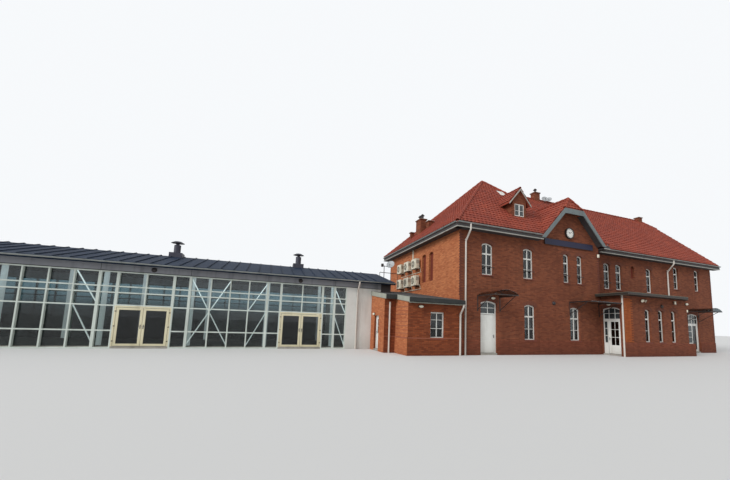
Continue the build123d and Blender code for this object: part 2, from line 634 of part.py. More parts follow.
@dataclass
class Door:
    """A hinged leaf between two jambs, in its wall's frame."""

    place: Location
    x0: float
    x1: float
    head: float
    face: float                         # the face it swings towards
    swing: int = 1                      # 1 opens inwards, -1 outwards
    hinge: int = -1                     # -1 hinged at the left edge, 1 at the right
    kick: float = LEAF_KICK
    glazed: bool = True

    def half_hinges(self, side, lift):
        """Knuckles and flaps of one side of the hinges, lifted above the other side's."""
        pin_x = self.x0 + DOOR_GAP / 2 if self.hinge < 0 else self.x1 - DOOR_GAP / 2
        xs = sorted((pin_x, pin_x + side * FLAP_W))
        ys = sorted((self.face, self.face + self.swing * FLAP_T))
        halves = []
        for share in (0.12, 0.5, 0.88):
            z = SLAB_T + share * (self.head - SLAB_T) + lift
            pin_y = self.face + self.swing * HINGE_R
            knuckle = Pos(pin_x, pin_y, z + HINGE_H / 2) * Cylinder(HINGE_R, HINGE_H)
            halves.append(knuckle + block(*xs, *ys, z, z + HINGE_H))
        return halves

    def leaf(self):
        """Leaf with a gap all round and its knuckles, glazed above a solid foot unless it is boarded."""
        c, rail = DOOR_GAP, LEAF_RAIL
        y0, y1 = sorted((self.face, self.face - self.swing * LEAF_T))
        body = block(self.x0 + c, self.x1 - c, y0, y1, SLAB_T + c, self.head - c)
        if self.glazed:
            left, right = self.x0 + c + rail, self.x1 - c - rail
            low, top = SLAB_T + c + self.kick, self.head - c - rail
            middle = (y0 + y1 - GLASS_T) / 2
            body -= block(left, right, y0 - 1, y1 + 1, low, top)
            body += block(left, right, middle, middle + GLASS_T, low, top)
        for half in self.half_hinges(-self.hinge, HINGE_H + HINGE_GAP):
            body += half
        return self.place * body

    def frame_hinges(self):
        return [self.place * half for half in self.half_hinges(self.hinge, 0.0)]


SIDE_SPAN = leaf_span(SIDE_DOOR)
ENTRANCE_SPAN = leaf_span(ENTRANCE, SIDELIGHT)
RIGHT_SPAN = leaf_span(RIGHT_DOOR, RIGHT_SIDELIGHT)
ANNEX_SPAN = leaf_span(ANNEX_DOOR)


def door_frames():
    side = FRONT * door_frame(*SIDE_DOOR, *SIDE_SPAN, REVEAL)
    entrance = PORCH_LEFT * door_frame(*ENTRANCE, *ENTRANCE_SPAN, REVEAL)
    right = WING * door_frame(*RIGHT_DOOR, *RIGHT_SPAN, REVEAL)
    annex = ANNEX_LEFT * door_frame(*ANNEX_DOOR, *ANNEX_SPAN, REVEAL, arch=False)
    return solids(side, entrance, right, annex)


def doors():
    """Every hinged leaf by name."""
    inner = REVEAL + FRAME_D
    leaves = {
        "side_door": Door(FRONT, *SIDE_SPAN, LEAF_HEAD, inner, glazed=False),
        "entrance_door": Door(PORCH_LEFT, *ENTRANCE_SPAN, LEAF_HEAD, inner, hinge=1),
        "right_door": Door(WING, *RIGHT_SPAN, LEAF_HEAD, inner, hinge=1),
        "annex_door": Door(ANNEX_LEFT, *ANNEX_SPAN, ANNEX_LEAF_HEAD, inner, hinge=1),
    }
    for left, right in hall_doorways():
        x0, x1, middle = left + DOOR_FRAME_W, right - DOOR_FRAME_W, (left + right) / 2
        head = HALL_DOOR_HEAD - DOOR_FRAME_W
        for a, b, hinge in ((x0, middle + DOOR_GAP / 2, -1), (middle - DOOR_GAP / 2, x1, 1)):
            name = f"hall_door_{len(leaves) - 3}"
            leaves[name] = Door(HALL, a, b, head, 0.0, swing=-1, hinge=hinge, kick=LEAF_RAIL)
    return leaves


def door_hinges():
    return solids(*[half for door in doors().values() for half in door.frame_hinges()])


# Glazed hall
def bay_x(bay):
    """Right-hand end of a bay, counted from the annex."""
    return HALL_X1 - HALL_END_PANEL - bay * HALL_BAY


def glazing_unit(x0, x1, panels, low=0.0, high=None):
    """Grid of bars between x0 and x1, in the hall's own wall frame."""
    high = HALL_GLASS_TOP if high is None else high
    x0, x1, w = x0 + JOINT / 2, x1 - JOINT / 2, BAR_W
    levels = [low] + [z for z in TRANSOMS if low + w < z < high - w] + [high]
    unit = block(x0, x1, 0, BAR_D, low, high)
    step = (x1 - x0 - w) / panels
    for col in range(panels):
        for z0, z1 in zip(levels[:-1], levels[1:]):
            a, b = x0 + w + col * step, x0 + (col + 1) * step
            bottom = z0 + (w if z0 == low else w / 2)
            top = z1 - (w if z1 == high else w / 2)
            unit -= block(a, b, -1, BAR_D + 1, bottom, top)
    return unit


def hall_units(rear):
    """Spans of the hall's glazing units: x0, x1, panels and lower edge."""
    units = [(HALL_X1 - HALL_END_PANEL, HALL_X1, 1, 0.0)]
    for bay in range(HALL_BAYS):
        x1 = bay_x(bay)
        x0 = x1 - HALL_BAY
        if bay in DOOR_BAYS and not rear:
            s = HALL_SIDE_PANEL
            units += [(x0, x0 + s, 1, 0.0), (x1 - s, x1, 1, 0.0), (x0 + s, x1 - s, 2, HALL_DOOR_HEAD)]
        else:
            units.append((x0, x1, 4, 0.0))
    return units


def hall_doorways():
    """Span of each double doorway in the hall's front."""
    return [(bay_x(bay) - HALL_BAY + HALL_SIDE_PANEL, bay_x(bay) - HALL_SIDE_PANEL)
            for bay in sorted(DOOR_BAYS, reverse=True)]


def hall_grid():
    front = [HALL * glazing_unit(*unit) for unit in hall_units(False)]
    rear = [Pos(0, HALL_BACK - BAR_D, 0) * glazing_unit(*unit) for unit in hall_units(True)]
    return solids(*front, *rear)


def hall_glass():
    panes = []
    for rear, place in ((False, HALL_FRONT + BAR_D), (True, HALL_BACK - BAR_D - GLASS_T)):
        for x0, x1, panels, low in hall_units(rear):
            panes.append(block(x0 + BAR_W, x1 - BAR_W, place, place + GLASS_T,
                               max(low, SLAB_T), HALL_GLASS_TOP))
    return solids(*panes)


def hall_door_frames():
    frames = []
    for x0, x1 in hall_doorways():
        w, c = DOOR_FRAME_W, JOINT / 2
        frame = block(x0 + c, x1 - c, 0, BAR_D, SLAB_T, HALL_DOOR_HEAD)
        frame -= block(x0 + w, x1 - w, -1, BAR_D + 1, -1, HALL_DOOR_HEAD - w)
        frames.append(HALL * frame)
    return solids(*frames)


def hall_columns():
    top = HALL_EAVES + HALL_PITCH * (HALL_COLUMN_IN - HALL_COLUMN_R)
    columns = []
    for bay in range(HALL_BAYS):
        for y in (HALL_FRONT + HALL_COLUMN_IN, HALL_BACK - HALL_COLUMN_IN):
            columns.append(Pos(bay_x(bay), y, (SLAB_T + top) / 2) * Cylinder(HALL_COLUMN_R, top - SLAB_T))
    return solids(*columns)


def brace(x0, z0, x1, z1):
    """Flat diagonal bar behind the glass, from one corner to another."""
    y0 = HALL_FRONT + BAR_D + GLASS_T
    length, angle = math.hypot(x1 - x0, z1 - z0), math.degrees(math.atan2(z1 - z0, x1 - x0))
    bar = Rot(0, -angle, 0) * Box(length, BRACE_W, BRACE_W)
    return Pos((x0 + x1) / 2, y0 + BRACE_W / 2, (z0 + z1) / 2) * bar


def hall_braces():
    """A cross over two panels, and pairs of parallel braces over a single panel."""
    panel = HALL_BAY / 4
    low, high, middle = SLAB_T + BRACE_W, HALL_GLASS_TOP - BRACE_W, HALL_DOOR_HEAD
    left, right = bay_x(2), bay_x(1) - 2 * panel
    braces = [brace(left, low, right, high) + brace(right, low, left, high)]
    for top_x, foot_x in ((bay_x(3) - panel, bay_x(3)), (bay_x(1), bay_x(1) - panel), (bay_x(0), HALL_X1)):
        braces += [brace(top_x, high, foot_x, middle), brace(top_x, middle, foot_x, low)]
    return solids(*braces)


def over_annex(x0, x1, y0, y1, top):
    """Box standing on the annex roof."""
    return above(block(x0, x1, y0, y1, ANNEX_EAVE, top), annex_roof_height, x0 - 1, x1 + 1, y0 - 1, y1 + 1)


def hall_end_screen():
    """Dark screen under the end of the hall roof."""
    y0 = HALL_FRONT + SCREEN_IN
    return over_annex(HALL_RETURN_X1, HALL_ROOF_X1 - SCREEN_T, y0, y0 + SCREEN_T,
                      HALL_EAVES + HALL_PITCH * SCREEN_IN)


def hall_fascia():
    x0 = HALL_X0 - HALL_WALL
    front = block(x0, HALL_RETURN_X1, HALL_FRONT, HALL_FRONT + BAR_D, HALL_GLASS_TOP, HALL_EAVES)
    rear = block(x0, -ANNEX_STEP_W, HALL_BACK - BAR_D, HALL_BACK, HALL_GLASS_TOP, HALL_EAVES)
    return solids(front, rear)


def hall_walls():
    middle = (HALL_FRONT + HALL_BACK) / 2
    peak = HALL_EAVES + HALL_PITCH * (middle - HALL_FRONT)
    near, far, side = HALL_FRONT + BAR_D, HALL_BACK - BAR_D, HALL_EAVES + HALL_PITCH * BAR_D
    outline = [(near, 0), (near, side), (middle, peak), (far, side), (far, 0)]
    end = Rot(0, 0, 90) * upright(outline, 0, HALL_WALL)
    left = Pos(HALL_X0, 0, 0) * end
    right = Pos(-ANNEX_STEP_W, 0, 0) * end
    c = JOINT / 2
    run_on = over_annex(-ANNEX_STEP_W, HALL_RETURN_X1, HALL_FRONT, HALL_FRONT + BAR_D - c, HALL_GLASS_TOP)
    pieces = [left, right, run_on]
    for y0, y1 in ((HALL_FRONT, HALL_FRONT + BAR_D - c), (HALL_BACK - BAR_D + c, HALL_BACK)):
        pieces.append(block(HALL_X1, -ANNEX_STEP_W, y0, y1, 0, HALL_GLASS_TOP))
        pieces.append(block(HALL_X0 - HALL_WALL, HALL_X0, y0, y1, 0, HALL_GLASS_TOP))
    return solids(*pieces)


def hall_front_height(x, y):
    return HALL_EAVES + HALL_PITCH * (y - HALL_FRONT) + HALL_ROOF_T


def hall_back_height(x, y):
    return HALL_EAVES + HALL_PITCH * (HALL_BACK - y) + HALL_ROOF_T


def hall_roof():
    x0, x1 = HALL_X0 - HALL_WALL - HALL_OVERHANG, HALL_ROOF_X1
    ridge = JOINT / 2
    front = [(x0, HALL_FRONT - HALL_OVERHANG), (x1, HALL_FRONT - HALL_OVERHANG),
             (x1, HALL_MIDDLE - ridge), (x0, HALL_MIDDLE - ridge)]
    back = [(x0, HALL_BACK + HALL_OVERHANG), (x1, HALL_BACK + HALL_OVERHANG),
            (x1, HALL_MIDDLE + ridge), (x0, HALL_MIDDLE + ridge)]
    t = HALL_ROOF_T
    return solids(sloped(front, hall_front_height, t), sloped(back, hall_back_height, t))


def hall_ventilators():
    """Round shafts on square bases over the ridge, each with a rain cap on a thin neck."""
    vents = []
    half, rise = VENT_BASE
    base = hall_front_height(0, HALL_MIDDLE)
    for bay in VENTS:
        x = bay_x(bay)
        vent = Pos(x, HALL_MIDDLE, base) * Box(2 * half, 2 * half, 2 * rise)
        vent += Pos(x, HALL_MIDDLE, base + VENT_H / 2) * Cylinder(VENT_R, VENT_H)
        vent += Pos(x, HALL_MIDDLE, base + VENT_H) * Cylinder(VENT_R / 2, 2 * VENT_NECK)
        cap = base + VENT_H + VENT_NECK + VENT_CAP / 2
        vent += Pos(x, HALL_MIDDLE, cap) * Cone(2 * VENT_R, VENT_R, VENT_CAP)
        for height, side in ((hall_front_height, -1), (hall_back_height, 1)):
            y1 = HALL_MIDDLE + side * 2 * half
            plan = [(x - 2 * half, HALL_MIDDLE), (x + 2 * half, HALL_MIDDLE), (x + 2 * half, y1),
                    (x - 2 * half, y1)]
            vent -= sloped(plan, height, HALL_EAVES)
        vents.append(vent)
    return solids(*vents)


# Roof pieces
def above(shape, height, x0, x1, y0, y1):
    """The part of a shape that stands above a roof plane, over a rectangle of the plan."""
    plan = [(x0, y0), (x1, y0), (x1, y1), (x0, y1)]
    return shape - sloped(plan, height, 2 * GABLE_Z)


def on_street_slope(shape):
    return above(shape, street_height, EAVE_L, BLOCK_W, EAVE_F, DEPTH)


def on_left_slope(shape):
    return above(shape, left_height, EAVE_L, BLOCK_W, 0, DEPTH)


def on_ridge(shape):
    shape = above(shape, wing_height, 0, VERGE_X, WING_EAVE, RIDGE_Y)
    return above(shape, back_height, 0, VERGE_X, RIDGE_Y, EAVE_B)


def dormer_outline(half, low, drop):
    """Gabled outline under the dormer's roof, lowered by drop."""
    side = DORMER_RIDGE - DORMER_PITCH * half - drop
    return [(DORMER_X - half, low), (DORMER_X + half, low), (DORMER_X + half, side),
            (DORMER_X, DORMER_RIDGE - drop), (DORMER_X - half, side)]


def dormer_walls():
    """Shell of front and cheeks on the street slope, with its window cut through."""
    t, back = DORMER_WALL, DORMER_FACE + DORMER_DEEP
    shell = upright(dormer_outline(DORMER_W / 2, EAVES, DORMER_T), DORMER_FACE, back)
    shell -= upright(dormer_outline(DORMER_W / 2 - t, EAVES - 1, DORMER_T + t), DORMER_FACE + t, back + 1)
    shell -= block(DORMER_X - PANES_W / 2, DORMER_X + PANES_W / 2,
                   DORMER_FACE - 1, DORMER_FACE + t + 1, *PANES_Z)
    return on_street_slope(shell)


def dormer_roof():
    y0, y1 = DORMER_FACE - DORMER_OUT, DORMER_FACE + DORMER_DEEP
    low = DORMER_RIDGE - DORMER_PITCH * DORMER_HALF - DORMER_T
    roof = upright(dormer_outline(DORMER_HALF, low, 0), y0, y1)
    under = [(DORMER_X - DORMER_HALF, low), (DORMER_X + DORMER_HALF, low),
             (DORMER_X, DORMER_RIDGE - DORMER_T)]
    return on_street_slope(roof - upright(under, y0 - 1, y1 + 1))


def dormer_window():
    """Frame with a centre bar, and its panes."""
    w, (low, high) = PANES_BAR, PANES_Z
    y0 = DORMER_FACE + PANES_IN
    y1 = y0 + PANES_D
    x0, x1 = DORMER_X - PANES_W / 2, DORMER_X + PANES_W / 2
    frame = block(x0, x1, y0, y1, low, high)
    frame -= block(x0 + w, DORMER_X - w / 2, y0 - 1, y1 + 1, low + w, high - w)
    frame -= block(DORMER_X + w / 2, x1 - w, y0 - 1, y1 + 1, low + w, high - w)
    middle = (y0 + y1 - GLASS_T / 2) / 2
    return frame + block(x0 + w, x1 - w, middle, middle + GLASS_T / 2, low + w, high - w)


def skylight():
    """Roof window standing a little above the street slope."""
    (x, y), w, run = SKYLIGHT, SKYLIGHT_W / 2, SKYLIGHT_L / math.hypot(1, PITCH) / 2
    plan = [(x - w, y - run), (x + w, y - run), (x + w, y + run), (x - w, y + run)]
    return Pos(0, 0, SKYLIGHT_H) * sloped(plan, street_height, SKYLIGHT_H)


def stack(x, y, width, depth, top):
    """Brick chimney with a projecting cap, down to the eaves' level."""
    shaft = block(x - width / 2, x + width / 2, y - depth / 2, y + depth / 2, ROOF_Z, top)
    w, d = width / 2 + CAP_T, depth / 2 + CAP_T
    return shaft + block(x - w, x + w, y - d, y + d, top - CAP_T, top)


def stacks():
    """Centre, size and top of every chimney, those on the left slope first."""
    left = [(x, y, w, d, left_height(x, y) + rise) for x, y, w, d, rise in LEFT_STACKS]
    ridge = [(x, y, w, d, wing_height(x, y) + rise) for x, y, w, d, rise in RIDGE_STACKS]
    return left, ridge


def chimneys():
    left, ridge = stacks()
    shapes = [on_left_slope(stack(*size)) for size in left] + [on_ridge(stack(*size)) for size in ridge]
    return solids(*shapes)


def chimney_cowls():
    """Round pots with wide caps: two on the largest stack and one on the ridge."""
    left, ridge = stacks()
    x, y, top = left[0][0], left[0][1], left[0][4]
    places = [(x, y - COWL_STEP, top), (x, y + COWL_STEP, top)]
    places.append((ridge[0][0], ridge[0][1], ridge[0][4]))
    cowls = []
    for x, y, top in places:
        pot = Pos(x, y, top + COWL_H / 2) * Cylinder(0.7 * COWL_R, COWL_H)
        cowls.append(pot + Pos(x, y, top + COWL_H) * Cone(1.3 * COWL_R, 0.4 * COWL_R, COWL_R))
    return solids(*cowls)


# Rainwater goods
EAVES_GUTTER_Z = ROOF_Z - GUTTER_DROP
HALL_GUTTER_Y = HALL_FRONT - HALL_OVERHANG - GUTTER_R
HALL_GUTTER_Z = hall_front_height(0, HALL_FRONT - HALL_OVERHANG) - GUTTER_DROP
ANNEX_GUTTER_Y = ANNEX_FRONT - ANNEX_OVERHANG - GUTTER_R
ANNEX_GUTTER_Z = annex_roof_height(0, ANNEX_FRONT - ANNEX_OVERHANG) - ANNEX_GUTTER_DROP


def gutters():
    z, off = EAVES_GUTTER_Z, GUTTER_R
    gable_end = GABLE_X - GABLE_HALF - BOARD_FOOT - JOINT
    left = Pos(EAVE_L - off, EAVE_F, z) * Rot(0, 0, 90) * channel(EAVE_B - EAVE_F)
    hall_x0 = HALL_X0 - HALL_WALL - HALL_OVERHANG
    return solids(
        left,
        Pos(EAVE_L, EAVE_F - off, z) * channel(gable_end - EAVE_L),
        Pos(EAVE_R, WING_EAVE - off, z) * channel(VERGE_X - EAVE_R),
        Pos(EAVE_L, EAVE_B + off, z) * channel(VERGE_X - EAVE_L),
        Pos(hall_x0, HALL_GUTTER_Y, HALL_GUTTER_Z) * channel(HALL_ROOF_X1 - hall_x0),
        Pos(hall_x0, HALL_BACK + HALL_OVERHANG + off, HALL_GUTTER_Z) * channel(HALL_ROOF_X1 - hall_x0),
        Pos(-ANNEX_W - ANNEX_VERGE, ANNEX_GUTTER_Y, ANNEX_GUTTER_Z) * channel(ANNEX_W + ANNEX_VERGE))


def downpipe(x, y, wall_y, top, neck):
    """Pipe from a gutter down a neck, back to the wall face and down to the ground."""
    top -= GUTTER_R + PIPE_OFF
    face = wall_y - PIPE_R - PIPE_OFF
    bend = top - neck
    return pipe([(x, y, top), (x, y, bend), (x, face, bend - 1.2 * abs(face - y)), (x, face, 0)], PIPE_R)


def straight_pipe(x, wall_y, top):
    face = wall_y - PIPE_R - PIPE_OFF
    return pipe([(x, face, top - PIPE_OFF), (x, face, 0)], PIPE_R)


def downpipes():
    z, off = EAVES_GUTTER_Z, GUTTER_R
    step_top = annex_wall_height(0, ANNEX_STEP) - STEP_PIPE_DROP
    return solids(
        downpipe(CORNER_PIPE_X, EAVE_F - off, 0, z, NECK_H),
        downpipe(WING_PIPE_X, WING_EAVE - off, SETBACK, z, NECK_H),
        downpipe(HALL_PIPE_X, HALL_GUTTER_Y, HALL_FRONT, HALL_GUTTER_Z, SHORT_NECK_H),
        downpipe(ANNEX_PIPE_X, ANNEX_GUTTER_Y, ANNEX_FRONT, ANNEX_GUTTER_Z, ANNEX_NECK_H),
        PORCH_LEFT * straight_pipe(PORCH_D - PIPE_R, 0, PORCH_TOP),
        straight_pipe(STEP_PIPE_X, ANNEX_STEP, step_top))


# Fittings
AC_PLACES = [(AC_Y0 + i * AC_STEP, z) for i in range(3) for z in AC_ZS]


def air_conditioners():
    units = []
    for y, z in AC_PLACES:
        unit = block(-AC_OFF - AC_D, -AC_OFF, y - AC_W / 2, y + AC_W / 2, z, z + AC_H)
        units.append(fillet(unit.edges().filter_by(Axis.Z), AC_ROUND))
    return solids(*units)


def ac_brackets():
    """Two angle brackets under each air conditioner."""
    a, arms = AC_ARM, []
    for y, z in AC_PLACES:
        for y0 in (y - 0.3 * AC_W, y + 0.3 * AC_W):
            arm = block(-AC_OFF - AC_D, 0, y0 - a / 2, y0 + a / 2, z - a, z)
            arms.append(arm + block(-a, 0, y0 - a / 2, y0 + a / 2, z - a, z + AC_ARM_H))
    return solids(*arms)


def station_clock():
    """Round clock with a raised rim, on the gable."""
    dial = Cylinder(CLOCK_R, CLOCK_T) - Pos(0, 0, CLOCK_T / 2) * Cylinder(0.88 * CLOCK_R, CLOCK_T / 2)
    return Pos(GABLE_X, -CLOCK_T / 2, CLOCK_Z) * Rot(90, 0, 0) * dial


def canopy_section(half, t):
    """Barrel sheet outline in X and Z, with its edges at z = 0."""
    rise = CANOPY_RISE
    outer = ThreePointArc((-half, 0, 0), (0, 0, rise), (half, 0, 0))
    inner = ThreePointArc((half - t, 0, 0), (0, 0, rise - t), (t - half, 0, 0))
    right, left = Line((half, 0, 0), (half - t, 0, 0)), Line((t - half, 0, 0), (-half, 0, 0))
    return make_face([outer, right, inner, left])


def canopy_glass():
    z = CANOPY_Z + ARM_W
    sheets = []
    for x, wall_y in BARRELS:
        sheet = extrude(canopy_section(CANOPY_HALF, CANOPY_T), amount=CANOPY_D, dir=(0, -1, 0))
        sheets.append(Pos(x, wall_y, z) * sheet)
    return solids(*sheets, block(*GLASS_CANOPY, -CANOPY_D, 0, z, z + CANOPY_T))


def canopy_spans():
    """Left end, right end and wall face of each canopy."""
    spans = [(x - CANOPY_HALF, x + CANOPY_HALF, wall_y) for x, wall_y in BARRELS]
    return spans + [(*GLASS_CANOPY, 0.0)]


def canopy_arm(x, wall_y):
    """Cantilever arm with a strut back to its wall plate."""
    a, z = ARM_W, CANOPY_Z
    arm = block(x - a / 2, x + a / 2, wall_y - CANOPY_D + a, wall_y, z, z + a)
    strut = pipe([(x, wall_y - 0.85 * CANOPY_D, z + a / 2), (x, wall_y, z - CANOPY_STRUT)], 0.4 * a)
    strut &= block(x - a, x + a, wall_y - CANOPY_D, wall_y, z - 2 * CANOPY_PLATE, z + a)
    plate = block(x - a / 2, x + a / 2, wall_y - 0.3 * a, wall_y, z - CANOPY_PLATE, z)
    return arm + strut + plate


def canopy_arms():
    a = ARM_W / 2
    return solids(*[canopy_arm(x, wall_y) for x0, x1, wall_y in canopy_spans() for x in (x0 + a, x1 - a)])


def canopy_rails():
    rails = []
    for x0, x1, wall_y in canopy_spans():
        y0 = wall_y - CANOPY_D
        rails.append(block(x0, x1, y0, y0 + ARM_W, CANOPY_Z, CANOPY_Z + ARM_W))
    return solids(*rails)


def build():
    """Every sub-part by name, in plan positions."""
    return {
        "ground_floors": ground_floors(),
        "upper_floor": upper_floor(),
        "attic_floor": attic_floor(),
        "front_wall_lower": front_wall_lower(),
        "front_wall_upper": front_wall_upper(),
        "door_arches": door_arches(),
        "left_wall": left_wall(),
        "right_wall": right_wall(),
        "back_wall": back_wall(),
        "wing_wall_lower": wing_wall_lower(),
        "wing_wall_upper": wing_wall_upper(),
        "doorsteps": doorsteps(),
        "return_wall": return_wall(),
        "porch_walls": porch_walls(),
        "porch_roof": porch_roof(),
        "annex_walls": annex_walls(),
        "annex_roof": annex_roof(),
        "street_slopes": street_slopes(),
        "platform_slope": platform_slope(),
        "end_slopes": end_slopes(),
        "peak_slope": peak_slope(),
        "gable_roof": gable_roof(),
        "bargeboards": bargeboards(),
        "dormer_walls": dormer_walls(),
        "dormer_roof": dormer_roof(),
        "roof_windows": solids(dormer_window(), skylight()),
        "chimneys": chimneys(),
        "chimney_cowls": chimney_cowls(),
        "gutters": gutters(),
        "downpipes": downpipes(),
        "window_frames": solids(*window_pieces(window_frame, square_frame)),
        "window_glass": solids(*window_pieces(window_glass, square_glass)),
        "door_frames": door_frames(),
        "door_hinges": door_hinges(),
        **{name: door.leaf() for name, door in doors().items()},
        "station_clock": station_clock(),
        "air_conditioners": air_conditioners(),
        "ac_brackets": ac_brackets(),
        "canopy_arms": canopy_arms(),
        "canopy_rails": canopy_rails(),
        "canopy_glass": canopy_glass(),
        "hall_grid": hall_grid(),
        "hall_glass": hall_glass(),
        "hall_door_frames": hall_door_frames(),
        "hall_columns": hall_columns(),
        "hall_braces": hall_braces(),
        "hall_fascia": hall_fascia(),
        "hall_walls": hall_walls(),
        "hall_end_screen": hall_end_screen(),
        "hall_roof": hall_roof(),
        "hall_ventilators": hall_ventilators(),
    }


if __name__ == "__main__":
    os.makedirs("parts", exist_ok=True)
    for name, shape in build().items():
        export_step(ORIGIN * shape, f"parts/{name}.step")
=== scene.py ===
import logging
import math
from dataclasses import dataclass
from enum import Enum
from typing import Callable, Iterable, Mapping, Sequence

import bmesh
import bpy
from mathutils import Matrix, Vector


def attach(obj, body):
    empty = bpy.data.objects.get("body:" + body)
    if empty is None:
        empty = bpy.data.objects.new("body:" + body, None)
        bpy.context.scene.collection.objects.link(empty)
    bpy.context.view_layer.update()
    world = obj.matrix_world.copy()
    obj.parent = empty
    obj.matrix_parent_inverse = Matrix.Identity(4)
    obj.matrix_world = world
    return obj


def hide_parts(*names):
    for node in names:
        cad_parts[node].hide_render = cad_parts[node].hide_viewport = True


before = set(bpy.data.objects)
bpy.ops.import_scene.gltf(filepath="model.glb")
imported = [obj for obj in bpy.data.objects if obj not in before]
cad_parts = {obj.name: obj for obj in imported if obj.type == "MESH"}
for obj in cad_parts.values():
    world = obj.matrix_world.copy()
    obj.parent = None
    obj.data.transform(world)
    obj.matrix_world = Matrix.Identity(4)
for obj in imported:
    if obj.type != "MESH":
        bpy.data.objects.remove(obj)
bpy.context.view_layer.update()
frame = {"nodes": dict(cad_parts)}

LOG = logging.getLogger("station")

# The building's main lengths, in metres.
BLOCK = 11.1
LENGTH = 25.85
SETBACK = 0.8
PORCH_OUT = 1.55
ANNEX_OUT = 0.16
ANNEX_WIDTH = 3.17
STEP_OUT = 3.85
STEP_BACK = 1.56
HALL_BACK = 4.0
OVERHANG = 0.47
WALL_TOP = 7.06
GABLE_X = 8.38
ROOF_PITCH = 0.965

# Widths of bevelled edges.
FINE = 0.003
THIN = 0.004
SMALL = 0.006
BROAD = 0.008

# The model is half the size of the building. Pieces are drawn in the building's own metres,
# from the brick block's front left corner, and brought to the model's frame when they are stored.
TO_MODEL = Matrix.Scale(0.5, 4) @ Matrix.Translation((-BLOCK / 2, -BLOCK / 2, 0.0))

Point = tuple[float, float, float]
Colour = tuple[float, float, float]
Span = tuple[float, float]


def srgb(red: int, green: int, blue: int) -> Colour:
    """Linear colour of a paint chart's red, green and blue, each from 0 to 255."""
    return tuple((c / 255) ** 2.2 for c in (red, green, blue))


def around(middle: float, half: float) -> Span:
    """Both ends of a stretch about its middle."""
    return (middle - half, middle + half)


def onward(start: float, length: float) -> Span:
    """Both ends of a stretch from its start."""
    return (start, start + length)


def inside(span: Span, margin: float) -> Span:
    """A stretch drawn in by a margin at both ends."""
    return (span[0] + margin, span[1] - margin)


def shift(x: float, y: float, z: float) -> Matrix:
    """Translation."""
    return Matrix.Translation((x, y, z))


def turn(degrees: float, axis: str) -> Matrix:
    """Rotation about a main axis."""
    return Matrix.Rotation(math.radians(degrees), 4, axis)


def axes(x: Vector, y: Vector, z: Vector, origin: Vector) -> Matrix:
    """Matrix to a frame with these directions and this origin."""
    return Matrix.Translation(origin) @ Matrix((x, y, z)).transposed().to_4x4()


def points_in(geometry: Iterable[object]) -> list[bmesh.types.BMVert]:
    """The vertices among mesh elements."""
    return [item for item in geometry if isinstance(item, bmesh.types.BMVert)]


def all_of(mesh: bmesh.types.BMesh) -> list[object]:
    """Every element of a mesh."""
    return [*mesh.verts, *mesh.edges, *mesh.faces]


def mesh_data(name: str, mesh: bmesh.types.BMesh) -> bpy.types.Mesh:
    """Keep a mesh under a name, and free it.

    Args:
        name: The name.
        mesh: The mesh.

    Returns:
        Its data.
    """
    data = bpy.data.meshes.new(name)
    mesh.to_mesh(data)
    mesh.free()
    return data


def add_object(name: str, data: bpy.types.ID) -> bpy.types.Object:
    """Put an object into the scene.

    Args:
        name: Its name.
        data: Its mesh, lamp or camera.

    Returns:
        The object.
    """
    made = bpy.data.objects.new(name, data)
    bpy.context.scene.collection.objects.link(made)
    return made


class Wall(Enum):
    """The building's faces: corner, and turn in degrees. X runs along the face, Y inwards."""

    FRONT = (0.0, 0.0, 0.0)
    WING = (0.0, SETBACK, 0.0)
    BACK = (LENGTH, BLOCK, 180.0)
    RIGHT = (LENGTH, 0.0, 90.0)
    LEFT = (0.0, BLOCK, -90.0)
    PORCH = (0.0, -PORCH_OUT, 0.0)
    PORCH_LEFT = (BLOCK, 0.0, -90.0)
    ANNEX = (0.0, -ANNEX_OUT, 0.0)
    ANNEX_SIDE = (-ANNEX_WIDTH, 0.0, -90.0)
    ANNEX_STEP = (0.0, STEP_BACK, 0.0)
    ANNEX_LEFT = (-STEP_OUT, HALL_BACK, -90.0)
    HALL = (0.0, HALL_BACK, 0.0)

    @property
    def frame(self) -> Matrix:
        """Matrix from the face's own frame to the building's."""
        x, y, degrees = self.value
        return shift(x, y, 0.0) @ turn(degrees, "Z")


class Slot(Enum):
    """Material slots that pieces stand for."""

    BRICK = "red_brick"
    TILE = "roof_tile"
    CONCRETE = "concrete"
    WHITE = "white_frame"
    BOARD = "grey_board"
    GLASS = "window_glass"
    DARK = "dark_metal"
    ZINC = "zinc"
    SEAM = "standing_seam"
    FASCIA = "fascia_panel"
    APPLIANCE = "appliance_white"
    DOOR = "door_paint"
    HALL_DOOR = "hall_door_paint"


